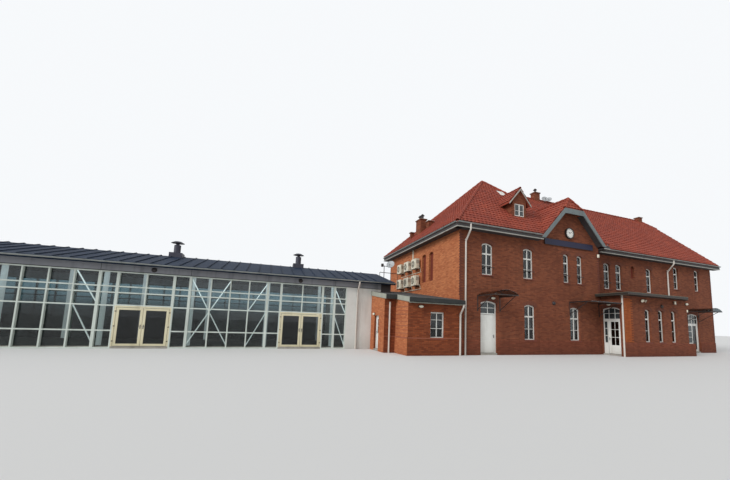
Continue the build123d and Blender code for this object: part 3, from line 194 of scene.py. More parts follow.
class Tree:
    """A node tree that is being put together."""

    def __init__(self, tree: bpy.types.NodeTree) -> None:
        """Keep the tree."""
        self.tree = tree

    def feed(self, node: bpy.types.Node, inputs: Mapping) -> bpy.types.Node:
        """Set a node's inputs.

        Args:
            node: The node.
            inputs: Socket name or number to a value or to another node's output socket.

        Returns:
            The node.
        """
        for key, value in inputs.items():
            socket = node.inputs[key]
            if isinstance(value, bpy.types.NodeSocket):
                self.tree.links.new(value, socket)
            else:
                socket.default_value = (*value, 1.0) if socket.type == "RGBA" else value
        return node

    def node(self, kind: str, inputs: Mapping | None = None, **settings: object) -> bpy.types.Node:
        """Add a node.

        Args:
            kind: The node's type without its ShaderNode prefix.
            inputs: What feed takes.
            settings: The node's own properties.

        Returns:
            The new node.
        """
        node = self.tree.nodes.new("ShaderNode" + kind)
        for name, value in settings.items():
            setattr(node, name, value)
        return self.feed(node, inputs or {})

    def math(self, operation: str, *values: object) -> bpy.types.NodeSocket:
        """Result of a Math node on values or sockets."""
        return self.node("Math", dict(enumerate(values)), operation=operation).outputs[0]

    def mix(self, share: object, a: object, b: object, blend: str = "MIX") -> bpy.types.NodeSocket:
        """Colour between a and b by share."""
        return self.node("Mix", {0: share, 6: a, 7: b}, data_type="RGBA", blend_type=blend).outputs[2]

    def stain(self, colour: object, mask: bpy.types.NodeSocket, share: float,
              tint: Colour) -> bpy.types.NodeSocket:
        """Colour with a share of a tint laid over it where the mask is."""
        return self.mix(self.math("MULTIPLY", mask, share), colour, tint)

    def ramp(self, value: object, low: float, high: float) -> bpy.types.NodeSocket:
        """Value spread from 0 at low to 1 at high."""
        return self.node("MapRange", {0: value, 1: low, 2: high}, clamp=True).outputs[0]


def group(name: str, inputs: Mapping[str, float], kind: str, fill: Callable) -> bpy.types.NodeTree:
    """Make a shader node group once.

    Args:
        name: The group's name.
        inputs: Its inputs' names and first values.
        kind: The type of its outputs.
        fill: Puts the nodes in, given the tree and the input sockets, and returns outputs by name.

    Returns:
        The group.
    """
    if name in bpy.data.node_groups:
        return bpy.data.node_groups[name]
    made = bpy.data.node_groups.new(name, "ShaderNodeTree")
    for label, value in inputs.items():
        socket = made.interface.new_socket(name=label, in_out="INPUT", socket_type="NodeSocketFloat")
        socket.default_value = value
    tree = Tree(made)
    outputs = fill(tree, made.nodes.new("NodeGroupInput").outputs)
    for label in outputs:
        made.interface.new_socket(name=label, in_out="OUTPUT", socket_type=kind)
    tree.feed(made.nodes.new("NodeGroupOutput"), outputs)
    return made


def wall_plane(tree: Tree, given: Mapping) -> dict[str, bpy.types.NodeSocket]:
    """Lay a flat pattern on upright walls: along the wall and up, in metres.

    Args:
        tree: The group's tree.
        given: Its input sockets, of which it has none; not used.

    Returns:
        The pattern's place.
    """
    place = tree.node("SeparateXYZ", {0: tree.node("TexCoord").outputs["Object"]}).outputs
    facing = tree.node("SeparateXYZ", {0: tree.node("NewGeometry").outputs["True Normal"]}).outputs
    across, flat = (tree.math("GREATER_THAN", tree.math("ABSOLUTE", facing[axis]), 0.7) for axis in (0, 2))
    along = tree.node("Mix", {0: across, 2: place[0], 3: place[1]}, data_type="FLOAT").outputs[0]
    up = tree.node("Mix", {0: flat, 2: place[2], 3: place[1]}, data_type="FLOAT").outputs[0]
    return {"Place": tree.node("CombineXYZ", {0: along, 1: up}).outputs[0]}


def weathering(tree: Tree, given: Mapping) -> dict[str, bpy.types.NodeSocket]:
    """Masks for age.

    Args:
        tree: The group's tree.
        given: Its input sockets.

    Returns:
        Broad patches, upright streaks, fine grain and splash near the ground.
    """
    place = tree.node("TexCoord").outputs["Object"]
    broad = tree.node("TexNoise", {"Vector": place, "Scale": given["Patch scale"], "Detail": 4.0,
                                   "Roughness": 0.6}).outputs["Fac"]
    thin = tree.node("Mapping", {"Vector": place, "Scale": (5.0, 5.0, 0.35)}).outputs[0]
    streaks = tree.node("TexNoise", {"Vector": thin, "Scale": 1.4, "Detail": 3.0}).outputs["Fac"]
    grain = tree.node("TexNoise", {"Vector": place, "Scale": given["Grain scale"], "Detail": 5.0})
    height = tree.node("SeparateXYZ", {0: place}).outputs[2]
    damp = tree.math("MULTIPLY_ADD", broad, 0.5, height)
    return {"Patches": tree.ramp(broad, 0.35, 0.65), "Streaks": tree.ramp(streaks, 0.5, 0.75),
            "Grain": grain.outputs["Fac"], "Splash": tree.ramp(damp, 0.65, 0.2)}


@dataclass(frozen=True)
class Finish:
    """A surface finish, made into a material once."""

    name: str

    def material(self) -> bpy.types.Material:
        """Make the material at its first use.

        Returns:
            The material.
        """
        if self.name in bpy.data.materials:
            return bpy.data.materials[self.name]
        material = bpy.data.materials.new(self.name)
        material.use_nodes = True
        self.dress(Tree(material.node_tree), material.node_tree.nodes["Principled BSDF"])
        return material

    def dress(self, tree: Tree, shader: bpy.types.Node) -> None:
        """Put the finish's nodes in before the shader."""
        raise NotImplementedError

    def age(self, tree: Tree, patch: float, grain: float) -> Mapping:
        """The weathering masks, at this finish's scales."""
        shared = group("Weathering", {"Patch scale": 1.0, "Grain scale": 60.0}, "NodeSocketFloat", weathering)
        return tree.node("Group", {"Patch scale": patch, "Grain scale": grain}, node_tree=shared).outputs

    def surface(self, tree: Tree, shader: bpy.types.Node, height: bpy.types.NodeSocket, depth: float,
                inputs: Mapping, strength: float = 1.0) -> None:
        """Lead a height's bumps and the other inputs into the shader."""
        bump = tree.node("Bump", {"Height": height, "Distance": depth, "Strength": strength})
        tree.feed(shader, {**inputs, "Normal": bump.outputs[0]})


@dataclass(frozen=True)
class Brickwork(Finish):
    """Brick courses with mortar joints, at the model's scale."""

    light: Colour
    dark: Colour
    mortar: Colour
    soot: Colour = srgb(84, 48, 40)
    soil: float = 0.5
    length: float = 0.130
    course: float = 0.0385
    joint: float = 0.0045

    def dress(self, tree: Tree, shader: bpy.types.Node) -> None:
        """Bricks that differ in tone, under patches, streaks and splash.

        Args:
            tree: The material's tree.
            shader: Its shader.
        """
        plane = tree.node("Group", node_tree=group("Wall plane", {}, "NodeSocketVector", wall_plane))
        bricks = tree.node("TexBrick", {
            "Vector": plane.outputs["Place"], "Color1": self.light, "Color2": self.dark,
            "Mortar": self.mortar, "Scale": 1.0, "Mortar Size": self.joint, "Mortar Smooth": 0.2,
            "Bias": -0.15, "Brick Width": self.length, "Row Height": self.course}, offset=0.5).outputs
        age = self.age(tree, 0.9, 90.0)
        colour = tree.stain(bricks["Color"], age["Patches"], 0.35, self.dark)
        colour = tree.stain(colour, age["Streaks"], 0.5 * self.soil, self.soot)
        colour = tree.stain(colour, age["Splash"], 0.7 * self.soil, self.soot)
        colour = tree.mix(1.0, colour, tree.math("MULTIPLY_ADD", age["Grain"], 0.5, 0.75), "MULTIPLY")
        height = tree.math("MULTIPLY_ADD", age["Grain"], 0.4, tree.math("SUBTRACT", 1.0, bricks["Fac"]))
        rough = tree.math("MULTIPLY_ADD", bricks["Fac"], 0.1, 0.82)
        self.surface(tree, shader, height, 0.004,
                     {"Base Color": colour, "Roughness": rough, "Specular IOR Level": 0.2}, 0.8)


@dataclass(frozen=True)
class RoofClay(Finish):
    """Fired clay roof tile."""

    light: Colour = srgb(156, 76, 58)
    dark: Colour = srgb(110, 50, 42)
    lichen: Colour = srgb(84, 62, 58)

    def dress(self, tree: Tree, shader: bpy.types.Node) -> None:
        """Tone that changes from tile to tile, with darker rain marks.

        Args:
            tree: The material's tree.
            shader: Its shader.
        """
        cells = tree.node("TexVoronoi", {"Vector": tree.node("TexCoord").outputs["Object"], "Scale": 6.5})
        tone = tree.node("SeparateColor", {0: cells.outputs["Color"]}).outputs[0]
        age = self.age(tree, 0.7, 70.0)
        colour = tree.stain(self.light, tone, 0.55, self.dark)
        colour = tree.stain(colour, age["Patches"], 0.3, self.dark)
        colour = tree.stain(colour, age["Streaks"], 0.35, self.lichen)
        rough = tree.math("MULTIPLY_ADD", age["Grain"], 0.3, 0.6)
        self.surface(tree, shader, age["Grain"], 0.002,
                     {"Base Color": colour, "Roughness": rough, "Specular IOR Level": 0.25}, 0.6)


@dataclass(frozen=True)
class Plain(Finish):
    """Paint, metal, render or plastic: one colour under patches, streaks and grain, with a painted glow where
    asked.
    """

    base: Colour
    worn: Colour
    rough: float = 0.45
    patches: float = 0.25
    streaks: float = 0.3
    splash: float = 0.0
    speckle: float = 0.0
    metallic: float = 0.0
    grain: float = 60.0
    relief: float = 0.0006
    painted_glow: float = 0.0
    specular: float = 0.5

    def dress(self, tree: Tree, shader: bpy.types.Node) -> None:
        """Worn and soiled places over the base colour.

        Args:
            tree: The material's tree.
            shader: Its shader.
        """
        age = self.age(tree, 1.6, self.grain)
        mask = tree.math("MULTIPLY", age["Patches"], self.patches)
        mask = tree.math("MULTIPLY_ADD", age["Streaks"], self.streaks, mask)
        if self.splash:
            mask = tree.math("MULTIPLY_ADD", age["Splash"], self.splash, mask)
        if self.speckle:
            mask = tree.math("MULTIPLY_ADD", tree.ramp(age["Grain"], 0.45, 0.65), self.speckle, mask)
        # Painted glow: emission in the base colour, for a part that is no lamp.
        if self.painted_glow:
            tree.feed(shader, {"Emission Color": self.base, "Emission Strength": self.painted_glow})
        self.surface(tree, shader, age["Grain"], self.relief, {
            "Base Color": tree.mix(tree.math("MINIMUM", mask, 1.0), self.base, self.worn),
            "Roughness": tree.math("MULTIPLY_ADD", age["Grain"], 0.25, self.rough - 0.1),
            "Metallic": self.metallic, "Specular IOR Level": self.specular})


@dataclass(frozen=True)
class Masonry(Plain):
    """Brick or concrete in one tone, rough and grainy, without joints."""

    rough: float = 0.85
    patches: float = 0.6
    speckle: float = 0.3
    grain: float = 90.0
    relief: float = 0.002


@dataclass(frozen=True)
class Pane(Finish):
    """Clear glazing, a little tinted and uneven."""

    tint: Colour
    far_shade_tint: Colour | None = None
    low_shade_tint: Colour | None = None
    far_low_shade_tint: Colour = srgb(22, 30, 32)
    low_reach: Span = (0.9, 1.5)
    far_from: float = 2.0
    waviness: float = 0.0004

    def dress(self, tree: Tree, shader: bpy.types.Node) -> None:
        """Smooth glass with a slow ripple and faint dust, darker below and on the platform side where asked,
        as painted shade of the hall's inside.

        Args:
            tree: The material's tree.
            shader: Its shader.
        """
        age = self.age(tree, 2.2, 5.0)
        colour = tree.mix(age["Patches"], self.tint, tuple(0.86 * part for part in self.tint))
        place = tree.node("SeparateXYZ", {0: tree.node("TexCoord").outputs["Object"]}).outputs
        far = self.far_shade_tint
        # Painted shade: darker glass low down and on the platform side stands for the shaded inside seen
        # through it.
        if self.low_shade_tint:
            height = tree.ramp(place[2], *self.low_reach)
            colour = tree.mix(height, self.low_shade_tint, colour)
            far = tree.mix(height, self.far_low_shade_tint, far)
        if self.far_shade_tint:
            colour = tree.mix(tree.math("GREATER_THAN", place[1], self.far_from), colour, far)
        rough = tree.math("MULTIPLY", age["Streaks"], 0.08)
        self.surface(tree, shader, age["Grain"], self.waviness,
                     {"Base Color": colour, "Roughness": rough, "Transmission Weight": 1.0, "IOR": 1.45})


@dataclass(frozen=True)
class DarkPane(Finish):
    """Glass over a dark room: an opaque, glossy near-black that is painted shade of the room behind."""

    tint: Colour = srgb(44, 52, 54)
    haze: Colour = srgb(78, 86, 88)

    def dress(self, tree: Tree, shader: bpy.types.Node) -> None:
        """Dark glass with faint lighter patches.

        Args:
            tree: The material's tree.
            shader: Its shader.
        """
        age = self.age(tree, 2.6, 6.0)
        colour = tree.stain(self.tint, age["Patches"], 0.5, self.haze)
        rough = tree.math("MULTIPLY_ADD", age["Streaks"], 0.1, 0.05)
        self.surface(tree, shader, age["Grain"], 0.0005, {"Base Color": colour, "Roughness": rough})


@dataclass(frozen=True)
class LampCover(Finish):
    """Frosted lamp cover."""

    tint: Colour = srgb(236, 230, 210)
    yellowed: Colour = srgb(200, 192, 170)

    def dress(self, tree: Tree, shader: bpy.types.Node) -> None:
        """Milky plastic with a soft sheen.

        Args:
            tree: The material's tree.
            shader: Its shader.
        """
        age = self.age(tree, 3.0, 30.0)
        colour = tree.stain(self.tint, age["Patches"], 0.3, self.yellowed)
        self.surface(tree, shader, age["Grain"], 0.0003, {"Base Color": colour, "Roughness": 0.3})


STREET_BRICK = Brickwork("Street brick", srgb(140, 80, 56), srgb(100, 54, 40), srgb(112, 82, 66),
                         srgb(64, 40, 32))
# Side brick is a lighter copy of the street brick: painted sunlight on the faces that look left.
SUNLIT_SIDE_BRICK = Brickwork("Side brick, painted sunlight", srgb(196, 122, 80), srgb(158, 86, 56), srgb(150, 108, 82),
                       srgb(120, 66, 48), 0.3)
ANNEX_BRICK = Brickwork("Annex brick", srgb(150, 80, 50), srgb(104, 50, 32), srgb(108, 72, 52))
CORNER_BRICK = Brickwork("Porch corner brick", srgb(186, 100, 56), srgb(146, 74, 40), srgb(124, 82, 56))
PLINTH_BRICK = Brickwork("Plinth brick", srgb(138, 76, 56), srgb(102, 54, 40), srgb(112, 76, 60),
                         srgb(66, 42, 34), 0.6)
ARCH_BRICK = Masonry("Arch brick", srgb(112, 64, 46), srgb(90, 52, 40))
# Quoin brick: darker toothed corner bricks, painted shade at the block's corners.
SHADED_QUOIN_BRICK = Masonry("Quoin brick, painted shade", srgb(110, 58, 44), srgb(78, 46, 38))
BAND_BRICK = Masonry("Band brick", srgb(158, 92, 68), srgb(124, 70, 52))
NICHE_BRICK = Masonry("Niche brick", srgb(116, 46, 28), srgb(86, 36, 24), patches=0.5, speckle=0.2)
SILL_BRICK = Masonry("Sill brick", srgb(122, 64, 50), srgb(88, 50, 42), 0.8, 0.5, speckle=0.0, relief=0.0015)
CLAY = RoofClay("Roof clay")
CONCRETE = Masonry("Concrete", srgb(168, 164, 156), srgb(118, 114, 106), patches=0.4, speckle=0.4, grain=60.0)
WHITE_PAINT = Plain("White frame paint", srgb(226, 226, 220), srgb(170, 166, 156), 0.4)
BOARD_PAINT = Plain("Grey board paint", srgb(108, 119, 120), srgb(84, 86, 88), 0.6, streaks=0.5)
# Soffits, eaves fascia and gable linings: dark paint, partly painted shade under the eaves and overhangs.
SOFFIT_PAINT_AND_SHADE = Plain("Dark soffit paint and painted shade", srgb(66, 62, 62), srgb(44, 42, 42), 0.7)
EDGE_PAINT = Plain("Pale edge paint", srgb(168, 168, 160), srgb(120, 118, 110), 0.55, streaks=0.5)
PORCH_EDGE = Plain("Porch roof edge", srgb(92, 92, 78), srgb(66, 66, 54), 0.6, streaks=0.5)
VERGE_PAINT = Plain("Grey-green verge paint", srgb(160, 162, 150), srgb(114, 116, 104), 0.6, streaks=0.5)
GLASS = Pane("Window glass", srgb(122, 134, 138))
DOOR_GLASS = Pane("Door glass", srgb(110, 118, 122))
# Hall glass: the darker platform-side and low tints are painted shade of the hall's inside.
HALL_GLASS = Pane("Hall glass", srgb(204, 222, 226), srgb(96, 120, 128), srgb(158, 172, 172))
# Fanlights, sidelights and dormer panes: opaque near-black glass, painted shade of the rooms behind.
DARK_GLASS = DarkPane("Dark glass")
DARK_METAL = Plain("Dark metal", srgb(58, 56, 58), srgb(92, 76, 64), 0.5, streaks=0.5, metallic=0.6)
DARK_SHEET = Plain("Dark sheet", srgb(22, 25, 24), srgb(44, 47, 44), 0.6, streaks=0.4)
VENT_METAL = Plain("Vent metal", srgb(66, 66, 78), srgb(46, 46, 54), 0.5, streaks=0.5, metallic=0.3)
PIPE_PAINT = Plain("Pipe paint", srgb(204, 197, 188), srgb(150, 142, 132), streaks=0.5)
HANDLE_METAL = Plain("Handle metal", srgb(96, 96, 98), srgb(60, 58, 58), 0.35, metallic=0.8)
DISH = Plain("Dish paint", srgb(168, 172, 174), srgb(122, 124, 124))
ZINC = Plain("Zinc", srgb(146, 150, 148), srgb(104, 108, 106), 0.5, streaks=0.6, metallic=0.4)
HALL_STEEL = Plain("Hall glazing bars", srgb(208, 217, 209), srgb(156, 165, 157), 0.4, streaks=0.4)
# The hall's columns and braces glow: painted light that makes them bright behind the hall glass.
GLOWING_WHITE_STEEL = Plain("White steel with painted glow", srgb(244, 246, 244), srgb(214, 216, 214), 0.4, painted_glow=0.4)
SEAM = Plain("Standing seam sheet", srgb(26, 42, 62), srgb(18, 28, 44), 0.65, 0.4, grain=30.0, specular=0.2)
FASCIA = Plain("Fascia panel", srgb(142, 144, 150), srgb(96, 96, 100), 0.55, streaks=0.5)
RENDER = Plain("White render", srgb(224, 225, 220), srgb(168, 166, 160), 0.85, streaks=0.35, splash=0.5,
               speckle=0.1, grain=140.0, relief=0.0015)
APPLIANCE = Plain("Appliance cream", srgb(222, 216, 196), srgb(168, 156, 130), streaks=0.6)
DOOR_PAINT = Plain("Door paint", srgb(230, 231, 226), srgb(176, 172, 162), 0.35, splash=0.4)
HALL_DOOR_PAINT = Plain("Hall door paint", srgb(224, 216, 184), srgb(172, 162, 130), 0.35, splash=0.3)
SIGN_BLUE = Plain("Board blue", srgb(17, 19, 50), srgb(28, 30, 62), 0.6, 0.4)
DIAL = Plain("Clock dial", srgb(232, 232, 226), srgb(190, 188, 176), 0.3)
MEMBRANE = Plain("Roof membrane", srgb(56, 58, 60), srgb(84, 82, 78), 0.85, speckle=0.35, grain=120.0,
                 relief=0.0015)
LAMP = LampCover("Lamp cover")

NODE_FINISH: dict[Finish, tuple[str, ...]] = {
    STREET_BRICK: ("front_wall_lower", "front_wall_upper", "wing_wall_lower", "wing_wall_upper",
                   "door_arches", "right_wall", "back_wall", "return_wall", "porch_walls", "chimneys",
                   "dormer_walls"),
    SUNLIT_SIDE_BRICK: ("left_wall",),
    ANNEX_BRICK: ("annex_walls",),
    CLAY: ("street_slopes", "platform_slope", "end_slopes", "peak_slope", "gable_roof", "dormer_roof"),
    CONCRETE: ("ground_floors", "upper_floor", "doorsteps"),
    SOFFIT_PAINT_AND_SHADE: ("attic_floor",),
    BOARD_PAINT: ("bargeboards",),
    MEMBRANE: ("annex_roof",),
    WHITE_PAINT: ("window_frames", "roof_windows"),
    GLASS: ("window_glass", "canopy_glass"),
    HALL_GLASS: ("hall_glass",),
    DARK_METAL: ("canopy_arms", "canopy_rails", "ac_brackets", "chimney_cowls", "door_hinges",
                 "hall_end_screen", "porch_roof"),
    ZINC: ("gutters",),
    PIPE_PAINT: ("downpipes",),
    VENT_METAL: ("hall_ventilators",),
    HALL_STEEL: ("hall_grid",),
    GLOWING_WHITE_STEEL: ("hall_columns", "hall_braces"),
    SEAM: ("hall_roof",),
    FASCIA: ("hall_fascia",),
    RENDER: ("hall_walls",),
    APPLIANCE: ("air_conditioners",),
    DOOR_PAINT: ("door_frames", "side_door", "entrance_door", "right_door", "annex_door"),
    HALL_DOOR_PAINT: ("hall_door_frames", "hall_door_1", "hall_door_2", "hall_door_3", "hall_door_4"),
    DIAL: ("station_clock",),
}


class Bench:
    """A mesh on the bench, in the building's metres, until it is stored as a piece."""

    def __init__(self, wall: Wall | None = None) -> None:
        """Start an empty mesh, in a face's frame or the building's."""
        self.mesh = bmesh.new()
        self.frame = wall.frame if wall else Matrix.Identity(4)

    def on(self, wall: Wall) -> None:
        """Work in a face's frame from here on."""
        self.frame = wall.frame

    def put(self, verts: Iterable[bmesh.types.BMVert], place: Matrix) -> None:
        """Move new vertices by place and then by the bench's frame."""
        bmesh.ops.transform(self.mesh, matrix=self.frame @ place, verts=list(verts))

    def bar(self, size: Point, place: Matrix) -> None:
        """Add a box of a size about its place, with sharp edges."""
        made = bmesh.ops.create_cube(self.mesh, size=1.0, matrix=Matrix.Diagonal((*size, 1.0)))
        self.put(made["verts"], place)

    def box(self, x: Span, y: Span, z: Span, bevel: float = 0.0, tilt: Matrix | None = None) -> None:
        """Add a box.

        Args:
            x: Its two ends along X.
            y: Its two ends along Y.
            z: Its two ends along Z.
            bevel: Width of its bevelled edges.
            tilt: Turn about its own middle.
        """
        sides = [abs(high - low) for low, high in (x, y, z)]
        verts = bmesh.ops.create_cube(self.mesh, size=1.0, matrix=Matrix.Diagonal((*sides, 1.0)))["verts"]
        if bevel:
            edges = list({edge for vert in verts for edge in vert.link_edges})
            made = bmesh.ops.bevel(self.mesh, geom=verts + edges, offset=bevel, offset_type="OFFSET",
                                   affect="EDGES", segments=1, profile=0.5, material=-1)
            verts = {vert for face in made["faces"] for vert in face.verts}
        middle = shift(*(sum(span) / 2 for span in (x, y, z)))
        self.put(verts, middle @ (tilt or Matrix.Identity(4)))

    def round(self, radius: float, height: float, place: Matrix, segments: int = 16,
              top: float | None = None) -> None:
        """Add a closed cylinder, or a cone to the top radius, that stands on its base at place."""
        made = bmesh.ops.create_cone(self.mesh, cap_ends=True, segments=segments, radius1=radius,
                                     radius2=top or radius, depth=height, matrix=shift(0.0, 0.0, height / 2))
        self.put(made["verts"], place)

    def rod(self, start: Point, end: Point, radius: float, segments: int = 8) -> None:
        """Add a round bar between two points.

        Args:
            start: The middle of its foot.
            end: The middle of its top.
            radius: Its radius.
            segments: Its number of sides.
        """
        a, b = Vector(start), Vector(end)
        aim = (b - a).to_track_quat("Z", "Y").to_matrix().to_4x4()
        self.round(radius, (b - a).length, Matrix.Translation(a) @ aim, segments)

    def turned(self, profile: Sequence[Span], place: Matrix, segments: int) -> None:
        """Spin a profile about Z.

        Args:
            profile: Its points' radii and heights.
            place: Where it goes.
            segments: Number of steps round.
        """
        part = bmesh.new()
        verts = [part.verts.new((radius, 0.0, height)) for radius, height in profile]
        edges = [part.edges.new(pair) for pair in zip(verts[:-1], verts[1:])]
        bmesh.ops.spin(part, geom=verts + edges, cent=(0, 0, 0), axis=(0, 0, 1), angle=math.tau,
                       steps=segments, use_merge=True)
        bmesh.ops.remove_doubles(part, verts=part.verts, dist=1e-5)
        bmesh.ops.recalc_face_normals(part, faces=part.faces)
        self.absorb(part, self.frame @ place)

    def absorb(self, part: bmesh.types.BMesh, place: Matrix) -> None:
        """Add a mesh that was made apart, and free it.

        Args:
            part: The mesh.
            place: Where it goes in the building's frame.
        """
        bmesh.ops.transform(part, matrix=place, verts=part.verts)
        data = mesh_data("part", part)
        self.mesh.from_mesh(data)
        bpy.data.meshes.remove(data)

    def extruded(self, outline: Sequence[Point], along: Point) -> None:
        """Fill a flat outline and extrude it.

        Args:
            outline: Its points.
            along: How far and which way it is drawn.
        """
        face = self.mesh.faces.new([self.mesh.verts.new(point) for point in outline])
        moved = points_in(bmesh.ops.extrude_face_region(self.mesh, geom=[face], use_keep_orig=True)["geom"])
        bmesh.ops.translate(self.mesh, vec=along, verts=moved)
        verts = list(face.verts) + moved
        faces = list({face for vert in verts for face in vert.link_faces})
        bmesh.ops.recalc_face_normals(self.mesh, faces=faces)
        self.put(verts, Matrix.Identity(4))

    def store(self, name: str, finish: Finish, slot: Slot, body: str = "station",
              replaces: Sequence[str] = (), smooth: bool = False) -> None:
        """Bring the mesh to the model's frame and keep it as a piece.

        Args:
            name: The piece's name.
            finish: Its finish.
            slot: Not used.
            body: The body it rides on.
            replaces: CAD nodes that it stands for.
            smooth: Whether shallow edges are shaded smooth.
        """
        bmesh.ops.transform(self.mesh, matrix=TO_MODEL, verts=self.mesh.verts)
        data = mesh_data(name, self.mesh)
        if smooth:
            data.shade_smooth()
            data.set_sharp_from_angle(angle=math.radians(35))
        data.materials.append(finish.material())
        piece = add_object(name, data)
        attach(piece, body)
        if replaces:
            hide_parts(*replaces)
        LOG.info("%s: %d faces", name, len(data.polygons))


@dataclass(frozen=True)
class Opening:
    """A window or door opening in a face: centre, width, sill and crown heights."""

    wall: Wall
    x: float
    width: float
    low: float
    crown: float
    arch: float = 0.12

    @property
    def radius(self) -> float:
        """Radius of the segmental arch."""
        half = self.width / 2
        return (half * half + self.arch * self.arch) / (2 * self.arch)

    def rise(self, offset: float) -> float:
        """Height of the arch at a distance from the middle."""
        return self.crown - self.radius + math.sqrt(self.radius ** 2 - offset ** 2)

    def outline(self, inset: float, y: float, low: float) -> list[Point]:
        """Points round an arched opening.

        Args:
            inset: How far inside its edge they lie.
            y: Their depth.
            low: Height of the straight foot.

        Returns:
            The points.
        """
        half, centre, radius = self.width / 2 - inset, self.crown - self.radius, self.radius - inset
        reach = math.asin(half / radius)
        angles = [reach * (1 - step / 3) for step in range(7)]
        return [(self.x - half, y, low), (self.x + half, y, low)] + [
            (self.x + radius * math.sin(angle), y, centre + radius * math.cos(angle)) for angle in angles]


UPPER, UPPER_HIGH, LOWER = (4.59, 6.48), (5.1, 6.9), (0.87, 3.0)
BACK_COUNT = 8
BLOCK_UPPER = [Opening(Wall.FRONT, x, width, *UPPER)
               for x, width in ((1.88, 0.8), (4.92, 0.8), (8.08, 0.52), (9.29, 0.52))]
BLOCK_LOWER = [Opening(Wall.FRONT, x, width, *LOWER) for x, width in ((4.98, 0.84), (8.71, 0.86))]
WING_UPPER = [Opening(Wall.WING, x, 0.66, *UPPER) for x in (12.97, 14.22, 17.65)] + [
    Opening(Wall.WING, x, 0.66, *UPPER_HIGH) for x in (21.05, 23.85)]
PORCH_WINDOWS = [Opening(Wall.PORCH, 14.72 + step, 0.56, 0.9, 3.05) for step in (-1.36, 0.0, 1.36)]
BACK_ROWS = [Opening(Wall.BACK, (index + 0.5) * LENGTH / BACK_COUNT, 0.8, *row)
             for row in (LOWER, UPPER) for index in range(BACK_COUNT)]
END_ROWS = [Opening(Wall.RIGHT, 5.95 + side, 0.8, *row) for row in (LOWER, UPPER) for side in (-2.4, 2.4)]
WINDOWS = BLOCK_UPPER + BLOCK_LOWER + WING_UPPER + PORCH_WINDOWS + BACK_ROWS + END_ROWS
ANNEX_WINDOW = Opening(Wall.ANNEX, -1.45, 0.84, 0.9, 2.28, arch=0.0)
SIDE_DOOR = Opening(Wall.FRONT, 1.97, 1.14, 0.05, 3.07)
ENTRANCE = Opening(Wall.PORCH_LEFT, 0.675, 1.18, 0.05, 3.12)
RIGHT_DOOR = Opening(Wall.WING, 22.98, 1.5, 0.05, 3.15)
NICHES = [Opening(Wall.LEFT, BLOCK - y, 0.6, 4.48, 6.42) for y in (3.5, 4.56)] + [
    Opening(Wall.WING, 15.77, 0.4, 5.55, 6.5)]


